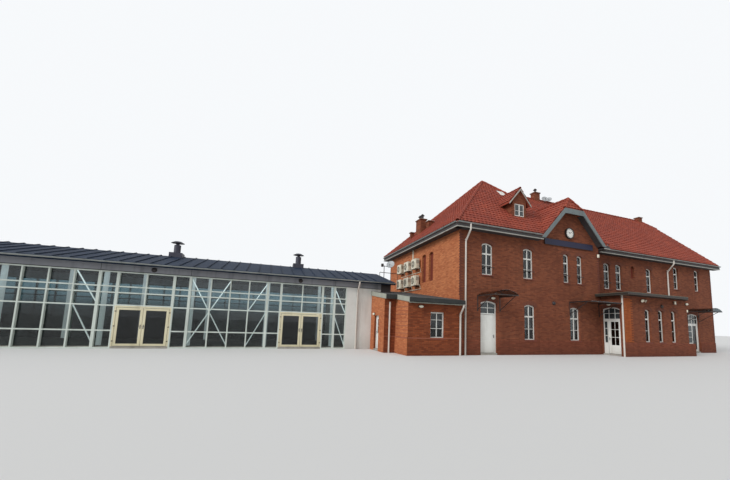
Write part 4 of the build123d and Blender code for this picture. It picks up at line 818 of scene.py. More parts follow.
@dataclass
class WindowJoinery:
    """Transoms, mullions and glazing bars set in the frames, with sills, arches and guard rails."""

    reveal: float = 0.12
    frame: float = 0.07
    sill_out: float = 0.05
    sill_height: float = 0.07
    arch_height: float = 0.24
    brick: float = 0.077
    joint: float = 0.012
    guard_height: float = 0.46

    def bars(self, bench: Bench, opening: Opening, transom: float, crossings: Sequence[float],
             mullion: float) -> None:
        """Cross bars of one window.

        Args:
            bench: The bench that the bars go on.
            opening: The window.
            transom: Share of the height at which the heavy transom lies, or 0 for none.
            crossings: Shares of the height for the thin bars.
            mullion: Half the width of the upright bar, or 0 for none.
        """
        bench.on(opening.wall)
        inner, height = self.reveal - 0.01, opening.crown - opening.low
        wide = around(opening.x, opening.width / 2 - self.frame + 0.01)
        if transom:
            z = around(opening.low + transom * height, 0.045)
            bench.box(wide, (inner - 0.01, inner + 0.08), z, BROAD)
        for share in crossings:
            bench.box(wide, onward(inner, 0.07), around(opening.low + share * height, 0.015), THIN)
        if mullion:
            z = inside((opening.low, opening.crown), 0.05)
            bench.box(around(opening.x, mullion), onward(inner, 0.08), z, BROAD)

    def sill(self, bench: Bench, opening: Opening) -> None:
        """Sloped sill under one window.

        Args:
            bench: The bench that it goes on.
            opening: The window.
        """
        bench.on(opening.wall)
        half, z = opening.width / 2 + 0.03, opening.low
        out, foot = -self.sill_out, z - self.sill_height
        outline = [(opening.x - half, y, height) for y, height in
                   ((out, foot), (self.reveal, foot), (self.reveal, z + 0.02), (out, z - 0.015))]
        bench.extruded(outline, (2 * half, 0.0, 0.0))

    def arch(self, bench: Bench, opening: Opening) -> None:
        """Fan of bricks on end over one opening.

        Args:
            bench: The bench that the bricks go on.
            opening: The window or door.
        """
        bench.on(opening.wall)
        reach = math.asin(min(0.95, (opening.width / 2 + 0.04) / opening.radius))
        middle = opening.radius + self.arch_height / 2
        count = max(5, round(2 * reach * middle / self.brick))
        wide = 2 * reach * middle / count - self.joint
        for index in range(count):
            tilt = turn(math.degrees(reach * (2 * (index + 0.5) / count - 1)), "Y")
            at = shift(opening.x, 0.0, opening.crown - opening.radius) @ tilt @ Vector((0.0, 0.0, middle))
            bench.box(around(at.x, wide / 2), (-0.012, 0.05), around(at.z, self.arch_height / 2), SMALL, tilt)

    def guard(self, bench: Bench, opening: Opening) -> None:
        """Low guard bar across the foot of an upper window.

        Args:
            bench: The bench that it goes on.
            opening: The window.
        """
        bench.on(opening.wall)
        half, z = opening.width / 2 + 0.03, opening.low + self.guard_height
        bench.box(around(opening.x, half), (-0.06, -0.03), around(z, 0.02), SMALL)
        for side in around(opening.x, half - 0.02):
            bench.box(around(side, 0.01), (-0.06, 0.0), around(z, 0.03), FINE)

    def build(self) -> None:
        """Every window's joinery, the sills, the brick arches and the guards."""
        bench = Bench()
        for openings, transom, crossing, mullion in (
                (BLOCK_UPPER[:2] + END_ROWS + BACK_ROWS + BLOCK_LOWER, 0.66, 0.31, 0.035),
                (BLOCK_UPPER[2:] + WING_UPPER, 0.68, 0.33, 0.0), (PORCH_WINDOWS, 0.7, 0.35, 0.0)):
            for opening in openings:
                self.bars(bench, opening, transom, (crossing,), mullion)
        self.bars(bench, ANNEX_WINDOW, 0.0, (0.37, 0.7), 0.02)
        bench.store("window_bars", WHITE_PAINT, Slot.WHITE)
        for make, openings, name, finish, slot in (
                (self.sill, WINDOWS + [ANNEX_WINDOW], "window_sills", SILL_BRICK, Slot.BRICK),
                (self.arch, WINDOWS + [SIDE_DOOR, ENTRANCE, RIGHT_DOOR], "brick_arches", ARCH_BRICK,
                 Slot.BRICK),
                (self.guard, BLOCK_UPPER + WING_UPPER[:2], "window_guards", DARK_METAL, Slot.DARK)):
            bench = Bench()
            for opening in openings:
                make(bench, opening)
            bench.store(name, finish, slot)


class Facing(Enum):
    """Which way a slope falls: its eaves line's direction, to the right as seen facing it."""

    STREET = (1, 0)
    PLATFORM = (-1, 0)
    LEFT = (0, -1)
    RIGHT = (0, 1)


Slope = tuple[list[Span], Point, Facing, float]


@dataclass
class RoofTiles:
    """Courses of clay tiles on every slope, with ridge and hip tiles.

    From left to end are the eaves lines in plan, and after them the roof's other lines and corners.
    """

    course: float = 0.34
    width: float = 0.26
    wave: tuple[float, ...] = (0.0, 0.0165, 0.022, 0.0077)
    lip: float = 0.035
    lift: float = 0.012
    left: float = -OVERHANG
    front: float = -OVERHANG
    wing: float = 0.33
    right: float = 11.57
    back: float = 11.57
    end: float = 26.32
    foot: float = 7.4
    ridge: float = 5.95
    ridge_z: float = 12.823
    clip: Span = (5.01, 6.89)
    clip_x: float = 25.38
    clip_z: float = 11.9163
    peak: Span = (5.55, 5.55)
    peak_z: float = 13.209
    gable_reach: Span = (5.723, 11.037)
    gable_back: float = 2.504
    gable_tip: float = -0.05
    gable_z: float = 10.27
    gable_pitch: float = 1.08
    gable_clip: float = 0.81
    dormer_x: float = 5.15
    dormer_half: float = 0.87
    dormer_y: Span = (0.84, 3.053)
    dormer_z: float = 10.8
    dormer_pitch: float = 1.2

    def sheet(self, bench: Bench, plan: Sequence[Span], eaves: Point, facing: Facing, pitch: float) -> None:
        """Tile courses over a convex plan outline.

        Args:
            bench: The bench that the tiles go on.
            plan: The slope's outline, counter-clockwise from above.
            eaves: A point on the slope's lowest line.
            facing: Which way it falls.
            pitch: Its rise for each metre in plan.
        """
        right = Vector((*facing.value, 0.0))
        rise = Vector((-right.y, right.x, pitch)).normalized()
        place = axes(right, rise, right.cross(rise), Vector(eaves))
        flat = []
        for x, y in plan:
            run = (y - eaves[1]) * right.x - (x - eaves[0]) * right.y
            flat.append(place.inverted() @ Vector((x, y, eaves[2] + run * pitch)))
        across, up = [point.x for point in flat], [point.y for point in flat]
        left, low = min(across) - self.width, min(up)
        tiles = math.ceil((max(across) + self.width - left) / self.width)
        strip = self.strip(left, low, tiles)
        pattern = all_of(strip)
        for row in range(1, math.ceil((max(up) - low) / self.course)):
            verts = points_in(bmesh.ops.duplicate(strip, geom=pattern)["geom"])
            bmesh.ops.translate(strip, verts=verts, vec=(self.width / 2 * (row % 2), row * self.course, 0.0))
        bmesh.ops.transform(strip, matrix=place, verts=strip.verts)
        for (x0, y0), (x1, y1) in zip(plan, [*plan[1:], plan[0]]):
            bmesh.ops.bisect_plane(strip, geom=all_of(strip), dist=1e-5, plane_co=(x0, y0, 0.0),
                                   plane_no=(y1 - y0, x0 - x1, 0.0), clear_outer=True)
        bench.absorb(strip, Matrix.Identity(4))

    def strip(self, left: float, low: float, tiles: int) -> bmesh.types.BMesh:
        """One course of wavy tiles with a turned-down front edge, laid flat.

        Args:
            left: Where it starts.
            low: Its front edge.
            tiles: Number of tiles.

        Returns:
            The course.
        """
        strip, steps = bmesh.new(), len(self.wave)
        bmesh.ops.create_grid(strip, x_segments=steps * tiles, y_segments=1, size=0.5)
        size = Matrix.Diagonal((tiles * self.width, self.course + 0.03, 1.0, 1.0))
        middle = shift(left + tiles * self.width / 2, low + self.course / 2, 0.0)
        bmesh.ops.transform(strip, verts=strip.verts, matrix=middle @ size)
        front = [vert for vert in strip.verts if vert.co.y < low + self.course / 2]
        for vert in strip.verts:
            vert.co.z = self.lift + self.wave[round((vert.co.x - left) / self.width * steps) % steps]
        bmesh.ops.translate(strip, verts=front, vec=(0.0, 0.0, self.lip))
        edges = [edge for edge in strip.edges if edge.verts[0] in front and edge.verts[1] in front]
        lips = points_in(bmesh.ops.extrude_edge_only(strip, edges=edges)["geom"])
        bmesh.ops.translate(strip, verts=lips, vec=(0.0, 0.0, -self.lip - 0.01))
        return strip

    def caps(self, bench: Bench, start: Point, end: Point, radius: float = 0.12,
             length: float = 0.42) -> None:
        """Row of half-round tiles that lap along a ridge or hip.

        Args:
            bench: The bench that they go on.
            start: The row's foot.
            end: Its top.
            radius: A tile's radius at its wide end.
            length: About how long each tile is.
        """
        a, b = Vector(start), Vector(end)
        count = max(1, round((b - a).length / length))
        step = (b - a).length / count
        along = (b - a).normalized()
        side = along.cross(Vector((0, 0, 1))).normalized()
        row = bmesh.new()
        for index in range(count):
            bmesh.ops.create_cone(row, cap_ends=False, segments=12, radius1=radius, radius2=radius * 0.8,
                                  depth=step * 1.08, matrix=shift(0.0, 0.0, step * (index + 0.5)))
        under = [vert for vert in row.verts if vert.co.y > 0.3 * radius]
        bmesh.ops.delete(row, geom=under, context="VERTS")
        bmesh.ops.solidify(row, geom=row.faces, thickness=0.02)
        bmesh.ops.recalc_face_normals(row, faces=row.faces)
        bench.absorb(row, axes(side, -side.cross(along), along, a))

    def street_slopes(self) -> list[Slope]:
        """Block slope on both sides of the gable, and the wing's.

        Returns:
            Plan, eaves point, facing and pitch of each.
        """
        valley, point = (GABLE_X, self.gable_back), (GABLE_X, 2.72)
        eaves = (0.0, self.front, self.foot)
        west, east = ((x, self.front) for x in self.gable_reach)
        block = [(self.left, self.front), west, valley, point, self.peak]
        wing = [(self.right, self.wing), (self.end, self.wing), (self.end, self.clip[0]),
                (self.clip_x, self.ridge), (self.ridge, self.ridge)]
        return [(block, eaves, Facing.STREET, ROOF_PITCH),
                ([east, (self.right, self.front), point, valley], eaves, Facing.STREET, ROOF_PITCH),
                (wing, (0.0, self.wing, self.foot), Facing.STREET, ROOF_PITCH)]

    def platform_slopes(self) -> list[Slope]:
        """The long back slope."""
        plan = [(self.end, self.back), (self.left, self.back), self.peak, (self.ridge, self.ridge),
                (self.clip_x, self.ridge), (self.end, self.clip[1])]
        return [(plan, (0.0, self.back, self.foot), Facing.PLATFORM, ROOF_PITCH)]

    def end_slopes(self) -> list[Slope]:
        """Left slope, the pyramid's narrow right slope, and the clipped end.

        Returns:
            Plan, eaves point, facing and pitch of each.
        """
        left = [(self.left, self.back), (self.left, self.front), self.peak]
        right = [(self.right, self.front), (self.right, self.wing), (self.ridge, self.ridge), self.peak]
        clip = [(self.end, self.clip[0]), (self.end, self.clip[1]), (self.clip_x, self.ridge)]
        return [(left, (self.left, 0.0, self.foot), Facing.LEFT, ROOF_PITCH),
                (right, (self.right, 0.0, self.foot), Facing.RIGHT, ROOF_PITCH),
                (clip, (self.end, 0.0, self.clip_z), Facing.RIGHT, ROOF_PITCH)]

    def gable_slopes(self) -> list[Slope]:
        """Both slopes of the street gable and its clip.

        Returns:
            Plan, eaves point, facing and pitch of each.
        """
        tip, back = (GABLE_X, self.gable_tip), (GABLE_X, self.gable_back)
        clip = [(x, self.front) for x in around(GABLE_X, self.gable_clip)]
        west, east = self.gable_reach
        foot = self.gable_z - self.gable_pitch * (GABLE_X - west)
        fall = self.gable_pitch * self.gable_clip
        return [([tip, back, (west, self.front), clip[0]], (west, 0.0, foot), Facing.LEFT, self.gable_pitch),
                ([back, tip, clip[1], (east, self.front)], (east, 0.0, foot), Facing.RIGHT, self.gable_pitch),
                ([*clip, tip], (GABLE_X, self.front, self.gable_z - fall), Facing.STREET,
                 fall / (self.gable_tip - self.front))]

    def dormer_slopes(self) -> list[Slope]:
        """Both slopes of the dormer.

        Returns:
            Plan, eaves point, facing and pitch of each.
        """
        front, back = ((self.dormer_x, y) for y in self.dormer_y)
        foot_z = self.dormer_z - self.dormer_pitch * self.dormer_half
        foot_y = (foot_z - self.foot) / ROOF_PITCH + self.front
        west, east = around(self.dormer_x, self.dormer_half)
        left = [front, back, (west, foot_y), (west, front[1])]
        right = [back, front, (east, front[1]), (east, foot_y)]
        return [(left, (west, 0.0, foot_z), Facing.LEFT, self.dormer_pitch),
                (right, (east, 0.0, foot_z), Facing.RIGHT, self.dormer_pitch)]

    def build(self) -> None:
        """Tiles for the whole main roof and the dormer, and the caps of every ridge and hip."""
        others = self.end_slopes() + self.gable_slopes() + self.dormer_slopes()
        for name, slopes in (("street_tiles", self.street_slopes()),
                             ("platform_tiles", self.platform_slopes()), ("end_and_gable_tiles", others)):
            bench = Bench()
            for slope in slopes:
                self.sheet(bench, *slope)
            bench.store(name, CLAY, Slot.TILE)
        bench = Bench()
        peak, tip = (*self.peak, self.peak_z), (GABLE_X, self.gable_tip, self.gable_z)
        ridge, end = ((x, self.ridge, self.ridge_z) for x in (self.ridge, self.clip_x))
        rows = [((x, y, 7.42), peak) for x, y in ((-0.45, -0.45), (-0.45, 11.55), (11.55, -0.45))]
        rows += [(peak, ridge), (ridge, end), (tip, (GABLE_X, self.gable_back, self.gable_z))]
        rows += [((26.3, y, 11.93), end) for y in (5.03, 6.87)]
        rows += [((x, -0.45, self.gable_z - 0.85), tip) for x in around(GABLE_X, 0.79)]
        for start, stop in rows:
            self.caps(bench, start, stop)
        front, back = ((self.dormer_x, y, self.dormer_z) for y in (0.85, 3.04))
        self.caps(bench, front, back, 0.09, 0.36)
        bench.store("ridge_tiles", CLAY, Slot.TILE)


@dataclass(frozen=True)
class Leaf:
    """A hinged door leaf, in its wall's frame."""

    node: str
    wall: Wall
    left: float
    right: float
    top: float
    front: float = 0.14
    hinged_right: bool = True
    rail: float = 0.11
    latch: float = 0.11
    foot: float = 0.55
    columns: int = 1
    rows: int = 1
    boarded: bool = False
    finish: Finish = DOOR_PAINT
    slot: Slot = Slot.DOOR


LEAVES = [
    Leaf("side_door", Wall.FRONT, 1.486, 2.454, 2.284, hinged_right=False, boarded=True),
    Leaf("entrance_door", Wall.PORCH_LEFT, 0.391, 1.179, 2.284, latch=0.17, columns=2, rows=3),
    Leaf("right_door", Wall.WING, 22.936, 23.644, 2.284, rail=0.09, latch=0.1, foot=0.16),
    Leaf("annex_door", Wall.ANNEX_LEFT, 0.786, 1.414, 1.954, foot=0.9, rows=2),
] + [
    Leaf(f"hall_door_{number}", Wall.HALL, left, right, 1.964, front=0.0, hinged_right=number % 2 == 0,
         foot=0.11, finish=HALL_DOOR_PAINT, slot=Slot.HALL_DOOR)
    for number, left, right in ((1, -16.744, -15.663), (2, -15.647, -14.566), (3, -9.164, -8.083),
                                (4, -8.067, -6.986))
]


@dataclass
class DoorJoinery:
    """Leaves with stiles, rails, glass and handles, and the fixed lights over and beside them."""

    thickness: float = 0.06
    base: float = 0.116
    pane: float = 0.016
    knuckle: float = 0.01
    knuckle_height: float = 0.05
    lever_height: float = 1.08
    lever: float = 0.11
    bar: float = 0.016
    edge: float = 0.005
    hinge_shares: tuple[float, ...] = (0.12, 0.5, 0.88)
    light_foot: float = 2.37
    light_y: Span = (0.125, 0.15)
    sidelight_y: Span = (0.1, 0.121)
    sidelight_z: Span = (0.8, 2.2)

    def leaf(self, leaf: Leaf) -> None:
        """One leaf's joinery, glass and handle, on the leaf's own body.

        Args:
            leaf: The leaf.
        """
        bench, y = Bench(leaf.wall), onward(leaf.front, self.thickness)
        left = leaf.left + (leaf.latch if leaf.hinged_right else leaf.rail)
        right = leaf.right - (leaf.rail if leaf.hinged_right else leaf.latch)
        upright, opening = (self.base, leaf.top), (self.base + leaf.foot, leaf.top - leaf.rail)
        if leaf.boarded:
            bench.box((leaf.left, leaf.right), inside(y, 0.008), upright, THIN)
            self.panels(bench, leaf, ((self.base + 0.12, 0.78), (0.86, 1.92), (2.0, leaf.top - 0.1)))
        else:
            for x, z in (((leaf.left, left), upright), ((right, leaf.right), upright),
                         ((left, right), (opening[1], leaf.top)), ((left, right), (self.base, opening[0]))):
                bench.box(x, y, z, self.edge)
            if leaf.foot > 0.3:
                bench.box(inside((left, right), 0.06), (y[0] - 0.008, y[0] + 0.01),
                          (self.base + 0.1, opening[0] - 0.08), SMALL)
            self.glazing_bars(bench, leaf, (left, right), opening)
        self.knuckles(bench, leaf)
        bench.store(f"{leaf.node}_leaf", leaf.finish, leaf.slot, leaf.node, [leaf.node])
        if not leaf.boarded:
            bench = Bench(leaf.wall)
            bench.box(inside((left, right), -0.01), around(sum(y) / 2, self.pane / 2), inside(opening, -0.01))
            bench.store(f"{leaf.node}_glass", DOOR_GLASS, Slot.GLASS, leaf.node)
        self.handle(leaf)

    def panels(self, bench: Bench, leaf: Leaf, heights: Sequence[Span]) -> None:
        """Two columns of raised panels on both faces of a boarded leaf.

        Args:
            bench: The bench that they go on.
            leaf: The leaf.
            heights: Foot and top of each row.
        """
        middle = (leaf.left + leaf.right) / 2
        for z in heights:
            for x in ((leaf.left + 0.1, middle - 0.04), (middle + 0.04, leaf.right - 0.1)):
                bench.box(x, inside(onward(leaf.front, self.thickness), 0.002), z, SMALL)

    def glazing_bars(self, bench: Bench, leaf: Leaf, x: Span, z: Span) -> None:
        """Bars between the panes of one leaf.

        Args:
            bench: The bench that they go on.
            leaf: The leaf.
            x: Both ends of its glass along the wall.
            z: Foot and top of its glass.
        """
        y = inside(onward(leaf.front, self.thickness), 0.012)
        for column in range(1, leaf.columns):
            bench.box(around(x[0] + (x[1] - x[0]) * column / leaf.columns, self.bar), y, z, FINE)
        for row in range(1, leaf.rows):
            bench.box(x, y, around(z[0] + (z[1] - z[0]) * row / leaf.rows, self.bar), FINE)

    def knuckles(self, bench: Bench, leaf: Leaf) -> None:
        """The leaf's halves of its three hinges.

        Args:
            bench: The bench that they go on.
            leaf: The leaf.
        """
        pin_x = leaf.right + 0.008 if leaf.hinged_right else leaf.left - 0.008
        pin_y = leaf.front + self.thickness + self.knuckle if leaf.front else -self.knuckle
        for share in self.hinge_shares:
            z = 0.1 + share * (leaf.top - 0.084) + 0.0506
            bench.round(self.knuckle, self.knuckle_height, shift(pin_x, pin_y, z), 10)

    def handle(self, leaf: Leaf) -> None:
        """Lever, spindle and plate on both faces.

        Args:
            leaf: The leaf.
        """
        bench, z = Bench(leaf.wall), self.lever_height
        x, reach = (leaf.left + 0.055, self.lever) if leaf.hinged_right else (leaf.right - 0.055, -self.lever)
        for face, out in ((leaf.front, -1), (leaf.front + self.thickness, 1)):
            bench.box(around(x, 0.018), onward(face, out * 0.008), (z - 0.13, z + 0.07), FINE)
            bench.round(0.009, 0.045, shift(x, face, z) @ turn(-90 * out, "X"), 10)
            y = onward(face + out * 0.036, out * 0.014)
            bench.box((x - reach * 0.08, x + reach), y, around(z, 0.009), FINE)
        bench.store(f"{leaf.node}_handle", HANDLE_METAL, Slot.DARK, leaf.node)

    def fanlight(self, glass: Bench, bars: Bench, opening: Opening, uprights: Sequence[float],
                 crossbar: float) -> None:
        """Fixed light over a leaf: dark glass behind thin bars.

        Args:
            glass: The bench for the glass.
            bars: The bench for the bars.
            opening: The doorway.
            uprights: The upright bars' distances from the middle.
            crossbar: Height of the crossbar.
        """
        glass.frame = bars.frame = opening.wall.frame
        glass.extruded(opening.outline(0.07, 0.1535, self.light_foot), (0.0, -0.005, 0.0))
        for offset in uprights:
            z = (self.light_foot - 0.01, opening.rise(offset) - 0.06)
            bars.box(around(opening.x + offset, self.bar), self.light_y, z, FINE)
        wide = around(opening.x, opening.width / 2 - 0.065)
        bars.box(wide, self.light_y, around(crossbar, self.bar), FINE)

    def sidelight(self, glass: Bench, bars: Bench, wall: Wall, x: Span) -> None:
        """Fixed light of three panes beside a leaf.

        Args:
            glass: The bench for the glass.
            bars: The bench for the bars.
            wall: The face.
            x: Both ends of the glass along it.
        """
        glass.frame = bars.frame = wall.frame
        foot, top = self.sidelight_z
        glass.box(x, (0.112, 0.1185), self.sidelight_z)
        for ends in ((x[0] - 0.02, x[0] + 0.01), (x[1] - 0.01, x[1] + 0.02)):
            bars.box(ends, self.sidelight_y, inside(self.sidelight_z, -0.02), THIN)
        for step in range(4):
            bars.box(x, self.sidelight_y, around(foot + (top - foot) * step / 3, self.bar), FINE)

    def build(self) -> None:
        """Every leaf and every fixed light."""
        for leaf in LEAVES:
            self.leaf(leaf)
        glass, bars = Bench(), Bench()
        for opening, uprights, crossbar in ((SIDE_DOOR, (0.0,), 2.68), (ENTRANCE, (-0.2, 0.2), 2.72),
                                            (RIGHT_DOOR, (-0.35, 0.0, 0.35), 2.75)):
            self.fanlight(glass, bars, opening, uprights, crossbar)
        for wall, x in ((Wall.PORCH_LEFT, (0.165, 0.36)), (Wall.WING, (22.36, 22.88))):
            self.sidelight(glass, bars, wall, x)
        glass.store("door_lights_glass", DARK_GLASS, Slot.GLASS)
        bars.store("door_lights_bars", WHITE_PAINT, Slot.WHITE)


@dataclass
class BrickTrim:
    """Plinths, toothed corners, banded courses, skins of brick and the red floors of the blind niches."""

    plinth: float = 0.84
    plinth_out: float = 0.03
    annex_plinth: float = 0.9
    annex_plinth_out: float = 0.035
    annex_side: Span = (-STEP_BACK, ANNEX_OUT)
    annex_top: float = 2.76
    annex_pitch: float = 0.13
    course: float = 0.077
    tooth: float = 0.012
    teeth_top: float = 7.04
    band_step: float = 0.2

    def ledge(self, bench: Bench, wall: Wall, x: Span, top: float, out: float) -> None:
        """Plinth with a sloped top along a stretch of wall.

        Args:
            bench: The bench that it goes on.
            wall: The face.
            x: Both ends of the stretch.
            top: The middle height of its sloped top.
            out: How far it stands out.
        """
        bench.on(wall)
        profile = [(x[0], y, z) for y, z in ((0.0, 0.0), (-out, 0.0), (-out, top - 0.03), (0.0, top + 0.03))]
        bench.extruded(profile, (x[1] - x[0], 0.0, 0.0))

    def plinths(self) -> None:
        """Plinths round the block, wing and porch, and the annex's own."""
        for name, finish, top, out, stretches in (
                ("brick_plinths", PLINTH_BRICK, self.plinth, self.plinth_out,
                 ((Wall.FRONT, 0.0, 1.36), (Wall.FRONT, 2.58, 11.07), (Wall.WING, 18.37, 22.18),
                  (Wall.WING, 23.78, LENGTH), (Wall.BACK, 0.0, LENGTH), (Wall.RIGHT, SETBACK, BLOCK),
                  (Wall.PORCH, BLOCK, 18.33), (Wall.PORCH_LEFT, 1.3, PORCH_OUT))),
                ("annex_plinths", ANNEX_BRICK, self.annex_plinth, self.annex_plinth_out,
                 ((Wall.ANNEX, -ANNEX_WIDTH, 0.0), (Wall.ANNEX_STEP, -STEP_OUT, -ANNEX_WIDTH)))):
            bench = Bench()
            for wall, *x in stretches:
                self.ledge(bench, wall, x, top, out)
            bench.store(name, finish, Slot.BRICK)

    def sunlit_side_skins(self) -> None:
        """Lighter brick on the annex's left faces and over the ends of the block's long walls, as painted
        sunlight on the faces that look left.
        """
        bench = Bench()
        self.ledge(bench, Wall.ANNEX_SIDE, self.annex_side, self.annex_plinth, self.annex_plinth_out)
        for wall, x0, x1, low in ((Wall.ANNEX_SIDE, *self.annex_side, 0.0), (Wall.ANNEX_LEFT, 0.0, 0.7, 0.0),
                                  (Wall.ANNEX_LEFT, 0.7, 1.5, 2.05), (Wall.ANNEX_LEFT, 1.5, 2.44, 0.0)):
            bench.on(wall)
            origin = 0.0 if wall is Wall.ANNEX_SIDE else HALL_BACK
            tops = [self.annex_top + self.annex_pitch * (origin - x + ANNEX_OUT) for x in (x0, x1)]
            outline = [(x, 0.002, z) for x, z in ((x0, low), (x1, low), (x1, tops[1]), (x0, tops[0]))]
            bench.extruded(outline, (0.0, -0.008, 0.0))
        bench.store("annex_side_sunlit_bricks", SUNLIT_SIDE_BRICK, Slot.BRICK)
        bench = Bench(Wall.LEFT)
        for x in ((0.0, 0.42), (10.68, BLOCK)):
            bench.box(x, (-0.006, 0.002), (0.0, WALL_TOP))
        bench.store("left_corner_sunlit_bricks", SUNLIT_SIDE_BRICK, Slot.BRICK)

    def corner(self, bench: Bench, wall: Wall, edge: float, inward: int, low: float, high: float,
               reaches: Span = (0.2, 0.05)) -> None:
        """Column of toothed bricks at a corner.

        Args:
            bench: The bench that the bricks go on.
            wall: The face.
            edge: The corner's place along the face.
            inward: 1 where the face lies to the right of the corner, -1 to its left.
            low: Foot of the column.
            high: Its top.
            reaches: How far the wide and the narrow bricks run from the corner.
        """
        bench.on(wall)
        for index in range(int((high - low) / (2 * self.course))):
            for row, reach in enumerate(reaches, 2 * index):
                z = onward(low + row * self.course, self.course)
                bench.box(onward(edge, inward * reach), (-self.tooth, 0.02), inside(z, 0.004), THIN)

    def corners(self) -> None:
        """Toothed corners of the block and the porch, and the strip of brick beside the entrance door."""
        bench, foot = Bench(), self.plinth + 0.06
        self.corner(bench, Wall.LEFT, BLOCK, -1, 3.3, self.teeth_top, (0.08, 0.03))
        for wall, edge, inward, low in ((Wall.FRONT, 0.0, 1, foot), (Wall.FRONT, BLOCK, -1, 4.1),
                                        (Wall.RIGHT, SETBACK, 1, foot), (Wall.WING, LENGTH, -1, foot)):
            self.corner(bench, wall, edge, inward, low, self.teeth_top)
        # The block's toothed corners are darker as painted shade.
        bench.store("toothed_corners", SHADED_QUOIN_BRICK, Slot.BRICK)
        bench = Bench()
        self.corner(bench, Wall.PORCH, BLOCK, 1, foot, 3.8, (0.8, 0.62))
        bench.store("porch_corner_bricks", CORNER_BRICK, Slot.BRICK)
        bench = Bench(Wall.PORCH_LEFT)
        bench.box((0.0, 0.087), (0.0, 0.28), (0.0, 3.84))
        bench.store("entrance_jamb", STREET_BRICK, Slot.BRICK)

    def bands(self) -> None:
        """Thin bands on the annex's left face, and the course over its plinths."""
        bench = Bench(Wall.ANNEX_SIDE)
        for band in range(8):
            bench.box(self.annex_side, (-0.014, 0.0), onward(1.1 + self.band_step * band, 0.03), FINE)
        for wall, x in ((Wall.ANNEX_SIDE, self.annex_side), (Wall.ANNEX, (-ANNEX_WIDTH, 0.0)),
                        (Wall.ANNEX_STEP, (-STEP_OUT, -ANNEX_WIDTH))):
            bench.on(wall)
            bench.box(x, (-0.048, 0.0), (0.87, 0.925), SMALL)
        bench.store("annex_bands", BAND_BRICK, Slot.BRICK)

    def niches(self) -> None:
        """Red floors of the blind niches."""
        bench = Bench()
        for opening in NICHES:
            bench.on(opening.wall)
            bench.extruded(opening.outline(0.004, 0.139, opening.low + 0.004), (0.0, -0.006, 0.0))
        bench.store("niche_floors", NICHE_BRICK, Slot.BRICK)

    def build(self) -> None:
        """All brick trim."""
        for make in (self.plinths, self.sunlit_side_skins, self.corners, self.bands, self.niches):
            make()


@dataclass
class GableFace:
    """Clock rim, marks and hands, the blank name board under them, and the linings of the gable roof, dark as
    painted shade.
    """

    clock_z: float = 7.9
    face_y: float = -0.12
    dial_y: float = -0.09
    radius: float = 0.36
    board_x: Span = (6.22, 10.46)
    board_z: Span = (6.95, 7.33)
    frame_y: Span = (-0.093, -0.05)
    rail_shares: tuple[float, ...] = (0.08, 0.36, 0.64, 0.92)
    rim: float = 0.008
    # Each hand's turn in degrees, length and width.
    hands: tuple[tuple[float, float, float], ...] = ((-60.0, 0.24, 0.018), (55.0, 0.16, 0.026))
    marks_out: float = 0.285
    hand_thickness: float = 0.008
    roof_z: float = 10.066
    roof_pitch: float = 1.08
    lining_y: Span = (-0.44, -0.002)

    def clock(self) -> None:
        """Dark rim, hour marks and hands."""
        front, dial = (shift(GABLE_X, y, self.clock_z) @ turn(90, "X") for y in (self.face_y, self.dial_y))
        bench = Bench()
        inner, casing, outer = 0.88 * self.radius, self.radius + 0.002, self.radius + self.rim
        bench.turned([(inner, -0.029), (inner, 0.004), (inner + 0.02, 0.012), (outer, 0.004), (outer, -0.118),
                      (casing, -0.118), (casing, -0.029), (inner, -0.029)], front, 32)
        for hour in range(12):
            long = 0.07 if hour % 3 == 0 else 0.04
            place = dial @ turn(30 * hour, "Z") @ shift(0.0, self.marks_out - long / 2, 0.004)
            bench.bar((0.02, long, self.hand_thickness), place)
        for degrees, long, wide in self.hands:
            place = dial @ turn(degrees, "Z") @ shift(0.0, long / 2 - 0.03, 0.012)
            bench.bar((wide, long, self.hand_thickness), place)
        bench.round(0.022, 0.02, dial, 12, 0.018)
        bench.store("clock_rim_and_hands", DARK_METAL, Slot.DARK)

    def name_board(self) -> None:
        """Blank board on stand-off rails, with a thin edge frame."""
        bench = Bench()
        bench.box(self.board_x, (-0.085, -0.055), self.board_z, BROAD)
        bench.store("name_board", SIGN_BLUE, Slot.DARK)
        bench, (left, right) = Bench(), self.board_x
        for z in self.board_z:
            bench.box(inside(self.board_x, -self.rim), self.frame_y, around(z, self.rim), FINE)
        for x in self.board_x:
            bench.box(around(x, self.rim), self.frame_y, self.board_z, FINE)
        for share in self.rail_shares:
            rail = around(left + share * (right - left), 0.02)
            bench.box(rail, (-0.056, 0.0), inside(self.board_z, 0.05), FINE)
        bench.store("name_board_frame", DARK_METAL, Slot.DARK)

    def linings(self) -> None:
        """Dark boards under the gable roof, between wall and bargeboards, as painted shade under the
        overhang.
        """
        bench, (front, back) = Bench(), self.lining_y
        for side in (-1, 1):
            outline = [(GABLE_X + side * run, front, self.roof_z - self.roof_pitch * run - drop)
                       for run, drop in ((0.84, 0.0), (2.6, 0.0), (2.6, 0.014), (0.84, 0.014))]
            bench.extruded(outline, (0.0, back - front, 0.0))
        bench.store("gable_shade_linings", SOFFIT_PAINT_AND_SHADE, Slot.BOARD)

    def build(self) -> None:
        """Clock, board and linings."""
        self.clock()
        self.name_board()
        self.linings()


